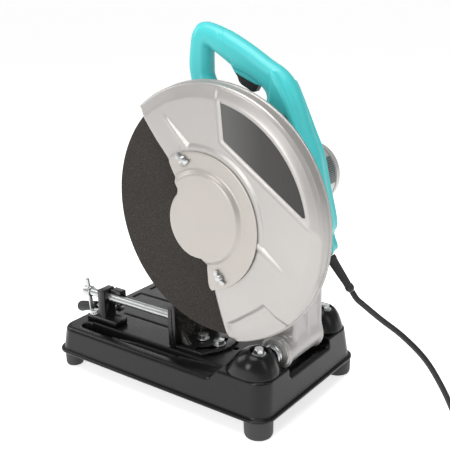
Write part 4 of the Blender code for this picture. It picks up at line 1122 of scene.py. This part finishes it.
T_BAR_R = 0.0036
T_BAR_LOW = Vector((0.0628, -0.1950, 0.0800))
T_BAR_HIGH = Vector((0.0682, -0.1950, 0.1385))
t_span = T_BAR_HIGH - T_BAR_LOW
t_bar_profile = [
    (0.0, 0.0), (T_BAR_R - 0.0012, 0.0), (T_BAR_R - 0.0003, 0.0004), (T_BAR_R, 0.0013),
    (T_BAR_R, t_span.length - 0.0013), (T_BAR_R - 0.0003, t_span.length - 0.0004),
    (T_BAR_R - 0.0012, t_span.length), (0.0, t_span.length)]
t_bar = lathe("t_bar_rod", T_BAR_LOW, t_span.normalized(), t_bar_profile, 32)
piece("t_bar_rod", t_bar, SCREW_LOOK, "screw", ("t_bar",), 30)


# ---- motor ----
MOTOR_END = (MOTOR[0] + 0.001, MOTOR[1] - 0.002)
MOTOR_END_R = 0.0495


motor_end_profile = [(0.0427, -0.0895), (MOTOR_END_R, -0.0903), (MOTOR_END_R, -0.0970), (0.0491, -0.1000),
                     (0.0480, -0.1032), (0.0460, -0.1064), (0.0428, -0.1092), (0.0382, -0.1110),
                     (0.0300, -0.1120), (0.0215, -0.1120), (0.0205, -0.1114), (0.0150, -0.1110),
                     (0.0, -0.1110)]
motor_end = lathe("motor_end", (0, *MOTOR_END), (1, 0, 0), motor_end_profile, 96)
piece("motor_end_shell", motor_end, MOTOR_LOOK, "arm", ("motor_end_cap",), 40)
BARREL_R = MOTOR_END_R - 0.0006
barrel_profile = [(0.0440, -0.0560), (BARREL_R, -0.0570), (BARREL_R, -0.0892), (0.0440, -0.0898)]
barrel = lathe("motor_barrel", (0, *MOTOR_END), (1, 0, 0), barrel_profile, 96)
piece("motor_barrel", barrel, MOTOR_LOOK, "arm", angle=40)
# The vent slots are not cut as holes: each is a flat black oval patch standing just proud of the end face,
# and its black is painted shade for the dark inside of the vent.
VENTS = 14
for k in range(VENTS):
    a = 2 * math.pi * k / VENTS
    vent_shade = lathe("vent_shade", (0, 0, 0), (1, 0, 0),
                 [(0.0, 0.0003), (0.0016, 0.0003), (0.0019, 0.0), (0.0016, -0.0010)], 20)
    for v in vent_shade.vertices:
        v.co.y *= 3.0
    vent_shade.transform(Matrix.Translation((-0.1121, MOTOR[0], MOTOR[1])) @ Matrix.Rotation(a, 4, "X")
                   @ Matrix.Translation((0, 0.0290, 0)) @ Matrix.Rotation(math.pi, 4, "Z"))
    piece("motor_vent_%02d" % (k + 1), vent_shade, LOOK["black_plastic"], "arm")


def plate_rows():
    """Rating plate wrapped on the motor's end, facing the rear."""
    rows = []
    for i in range(9):
        x = -0.0680 - 0.0190 * i / 8
        row = []
        for k in range(25):
            a = math.radians(-8 + 48 * k / 24)
            r = MOTOR_END_R + 0.0003
            row.append((x, MOTOR_END[0] + r * math.cos(a), MOTOR_END[1] + r * math.sin(a)))
        rows.append(row)
    return rows


piece("motor_rating_plate", grid_mesh("motor_rating_plate", plate_rows()), PLATE_LOOK, "arm")


# ---- strain relief and cord ----
RELIEF_AXIS = Vector((0.0, 0.630, -0.777))
RELIEF_START = Vector((HANDLE_X, 0.2456, 0.2518))
RELIEF_END = RELIEF_START + 0.056 * RELIEF_AXIS
profile = [(0.0, 0.0), (0.0076, 0.0), (0.0078, 0.0008), (0.0078, 0.0050), (0.0072, 0.0060), (0.0068, 0.0100),
           (0.0062, 0.0240), (0.0056, 0.0380), (0.0053, 0.0460), (0.0060, 0.0468), (0.0062, 0.0480),
           (0.0062, 0.0520), (0.0060, 0.0532), (0.0050, 0.0540), (0.0044, 0.0556), (0.0040, 0.0560),
           (0.0, 0.0560)]
piece("cord_boot", lathe("cord_boot", RELIEF_START, RELIEF_AXIS, profile, 40), LOOK["rubber"], "arm",
      ("strain_relief",), 30)

CORD_START = RELIEF_END + 0.0004 * RELIEF_AXIS
ROUTE = mm(((14.5, 299, 192), (13, 326, 176), (9, 356, 158), (4, 388, 130), (-2, 412, 92), (-8, 432, 50),
            (-16, 452, 19), (-30, 474, 6.0), (-52, 504, 4.6), (-65, 528, 4.6)))
CORD_Z = 0.0046                         # the cord's middle where it lies on the floor
COIL_FROM, COIL_TO = 168.0, 100.0       # angles at which the coil begins and ends
PLUG_Z = 0.019
PLUG_TAIL = Vector((COIL[0] + 0.075, COIL[1] + 0.0305, PLUG_Z))


def coil_points(turns, first_angle):
    """Clockwise turns, two side by side and three deep; each step takes the last quarter of a turn."""
    wide, slim = 0.0505, 0.0420
    seats = ((wide, CORD_Z), (slim, CORD_Z), (slim, 0.0130), (wide, 0.0130), (wide, 0.0208), (slim, 0.0208))
    points = []
    per = 24
    for k in range(int(turns * per) + 1):
        t = k / per
        lap = min(int(t), len(seats) - 1)
        into = t - int(t)
        here = seats[lap]
        ahead = seats[min(lap + 1, len(seats) - 1)]
        blend = ease((into - 0.75) / 0.25)
        radius = here[0] + (ahead[0] - here[0]) * blend
        height = here[1] + (ahead[1] - here[1]) * blend
        a = math.radians(first_angle - 360 * t)
        points.append(Vector((COIL[0] + radius * math.cos(a), COIL[1] + radius * math.sin(a), height)))
    return points


def cord_points(turns):
    lead = [CORD_START, CORD_START + 0.012 * RELIEF_AXIS] + [Vector(p) for p in ROUTE]
    body = spline(lead + [Vector((COIL[0] - 0.0525, COIL[1] - 0.012, CORD_Z))], 4, False)
    coil = coil_points(turns, COIL_FROM)
    last = coil[-1]
    tail = [last, Vector((COIL[0] + 0.016, COIL[1] + 0.0530, 0.0225)),
            Vector((COIL[0] + 0.044, COIL[1] + 0.0590, 0.021)),
            Vector((COIL[0] + 0.066, COIL[1] + 0.0520, 0.0195)), PLUG_TAIL + Vector((0, 0.008, 0)), PLUG_TAIL]
    return body + coil[1:] + spline(tail, 5, False)[1:]


cord_path = cord_points(5.0 + (COIL_FROM - COIL_TO) / 360.0)
curve = poly_curve("supply_cord", cord_path, False)
curve.dimensions = "3D"
curve.bevel_depth = CORD_R
curve.bevel_resolution = 4
curve.use_fill_caps = True
cord_mesh = baked(link(bpy.data.objects.new("supply_cord", curve)))
cord_mesh.transform(TO_ROW)
cord_path = [TO_ROW @ point for point in cord_path]
cord = link(bpy.data.objects.new("supply_cord", cord_mesh))
cord_mesh.materials.append(CORD_LOOK)
cord_mesh.shade_smooth()
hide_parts("cord", "cord_coil")
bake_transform(cord)


def plug_mesh():
    y = COIL[1]
    rows = []
    for place, wide, high in ((0.0305, 0.0046, 0.0046), (0.0240, 0.0052, 0.0052), (0.0080, 0.0070, 0.0070),
                              (0.0030, 0.0100, 0.0095), (-0.0020, 0.0150, 0.0130), (-0.0120, 0.0170, 0.0150),
                              (-0.0240, 0.0178, 0.0160), (-0.0340, 0.0176, 0.0160), (-0.0385, 0.0165, 0.0152),
                              (-0.0400, 0.0140, 0.0130)):
        row = []
        for c, s in circle(40):
            row.append((PLUG_TAIL.x + wide * abs(c) ** 0.75 * (1 if c > 0 else -1), y + place,
                        PLUG_Z + high * abs(s) ** 0.75 * (1 if s > 0 else -1)))
        rows.append(row)
    bm = bmesh.new()
    bm.from_mesh(grid_mesh("plug", rows, closed=True, cap=True))
    for dx in (-0.0095, 0.0095):
        bm.from_mesh(lathe("pin", (PLUG_TAIL.x + dx, y, PLUG_Z), (0, -1, 0), [
            (0.0, 0.0375), (0.0024, 0.0375), (0.0024, 0.0560), (0.0019, 0.0575), (0.0, 0.0580)], 20))
    return from_bmesh(bm, "plug", 0.0)


plug = piece("mains_plug", plug_mesh(), CORD_LOOK, "base", ("plug",), 40)


# ---- floor and light ----
floor_mesh = bpy.data.meshes.new("floor")
FLOOR_HALF = 60.0
FLOOR_Z = -0.0002                       # just under the feet
corners = [(x * FLOOR_HALF, y * FLOOR_HALF, FLOOR_Z) for x, y in ((-1, -1), (1, -1), (1, 1), (-1, 1))]
floor_mesh.from_pydata(corners, [], [(0, 1, 2, 3)])
floor = link(bpy.data.objects.new("floor", floor_mesh))
n = Nodes("floor_white")
finish_material(n, (0.80, 0.80, 0.80), 0.9)
n.bsdf.inputs["Emission Color"].default_value = (1, 1, 1, 1)
n.bsdf.inputs["Emission Strength"].default_value = 0.69
floor_mesh.materials.append(n.mat)

world = bpy.data.worlds.new("studio")
bpy.context.scene.world = world
world.use_nodes = True
background = world.node_tree.nodes["Background"].inputs
background["Color"].default_value = (1.0, 1.0, 1.0, 1.0)
background["Strength"].default_value = 0.36


def area(name, place, aim, size, power):
    lamp = bpy.data.lights.new(name, "AREA")
    lamp.shape = "RECTANGLE"
    lamp.size, lamp.size_y = size
    lamp.energy = power
    obj = link(bpy.data.objects.new(name, lamp))
    obj.location = TO_ROW @ Vector(place)
    obj.rotation_euler = (Vector(aim) - Vector(place)).to_track_quat("-Z", "Y").to_euler()


TARGET = (0.05, 0.05, 0.25)
area("key", (2.1, -0.05, 0.95), TARGET, (0.9, 0.9), 17.5)
area("front", (0.6, -1.9, 1.3), TARGET, (0.9, 1.2), 10.0)
area("top", (0.25, 0.15, 2.0), TARGET, (1.3, 1.3), 25.0)
area("rear_fill", (-0.1, 2.1, 1.1), TARGET, (0.5, 1.2), 3.5)
area("sheen", (-1.9, -1.5, 0.90), (0.0, -0.05, 0.07), (1.4, 0.7), 3.5)
bpy.context.scene.view_settings.view_transform = "Standard"
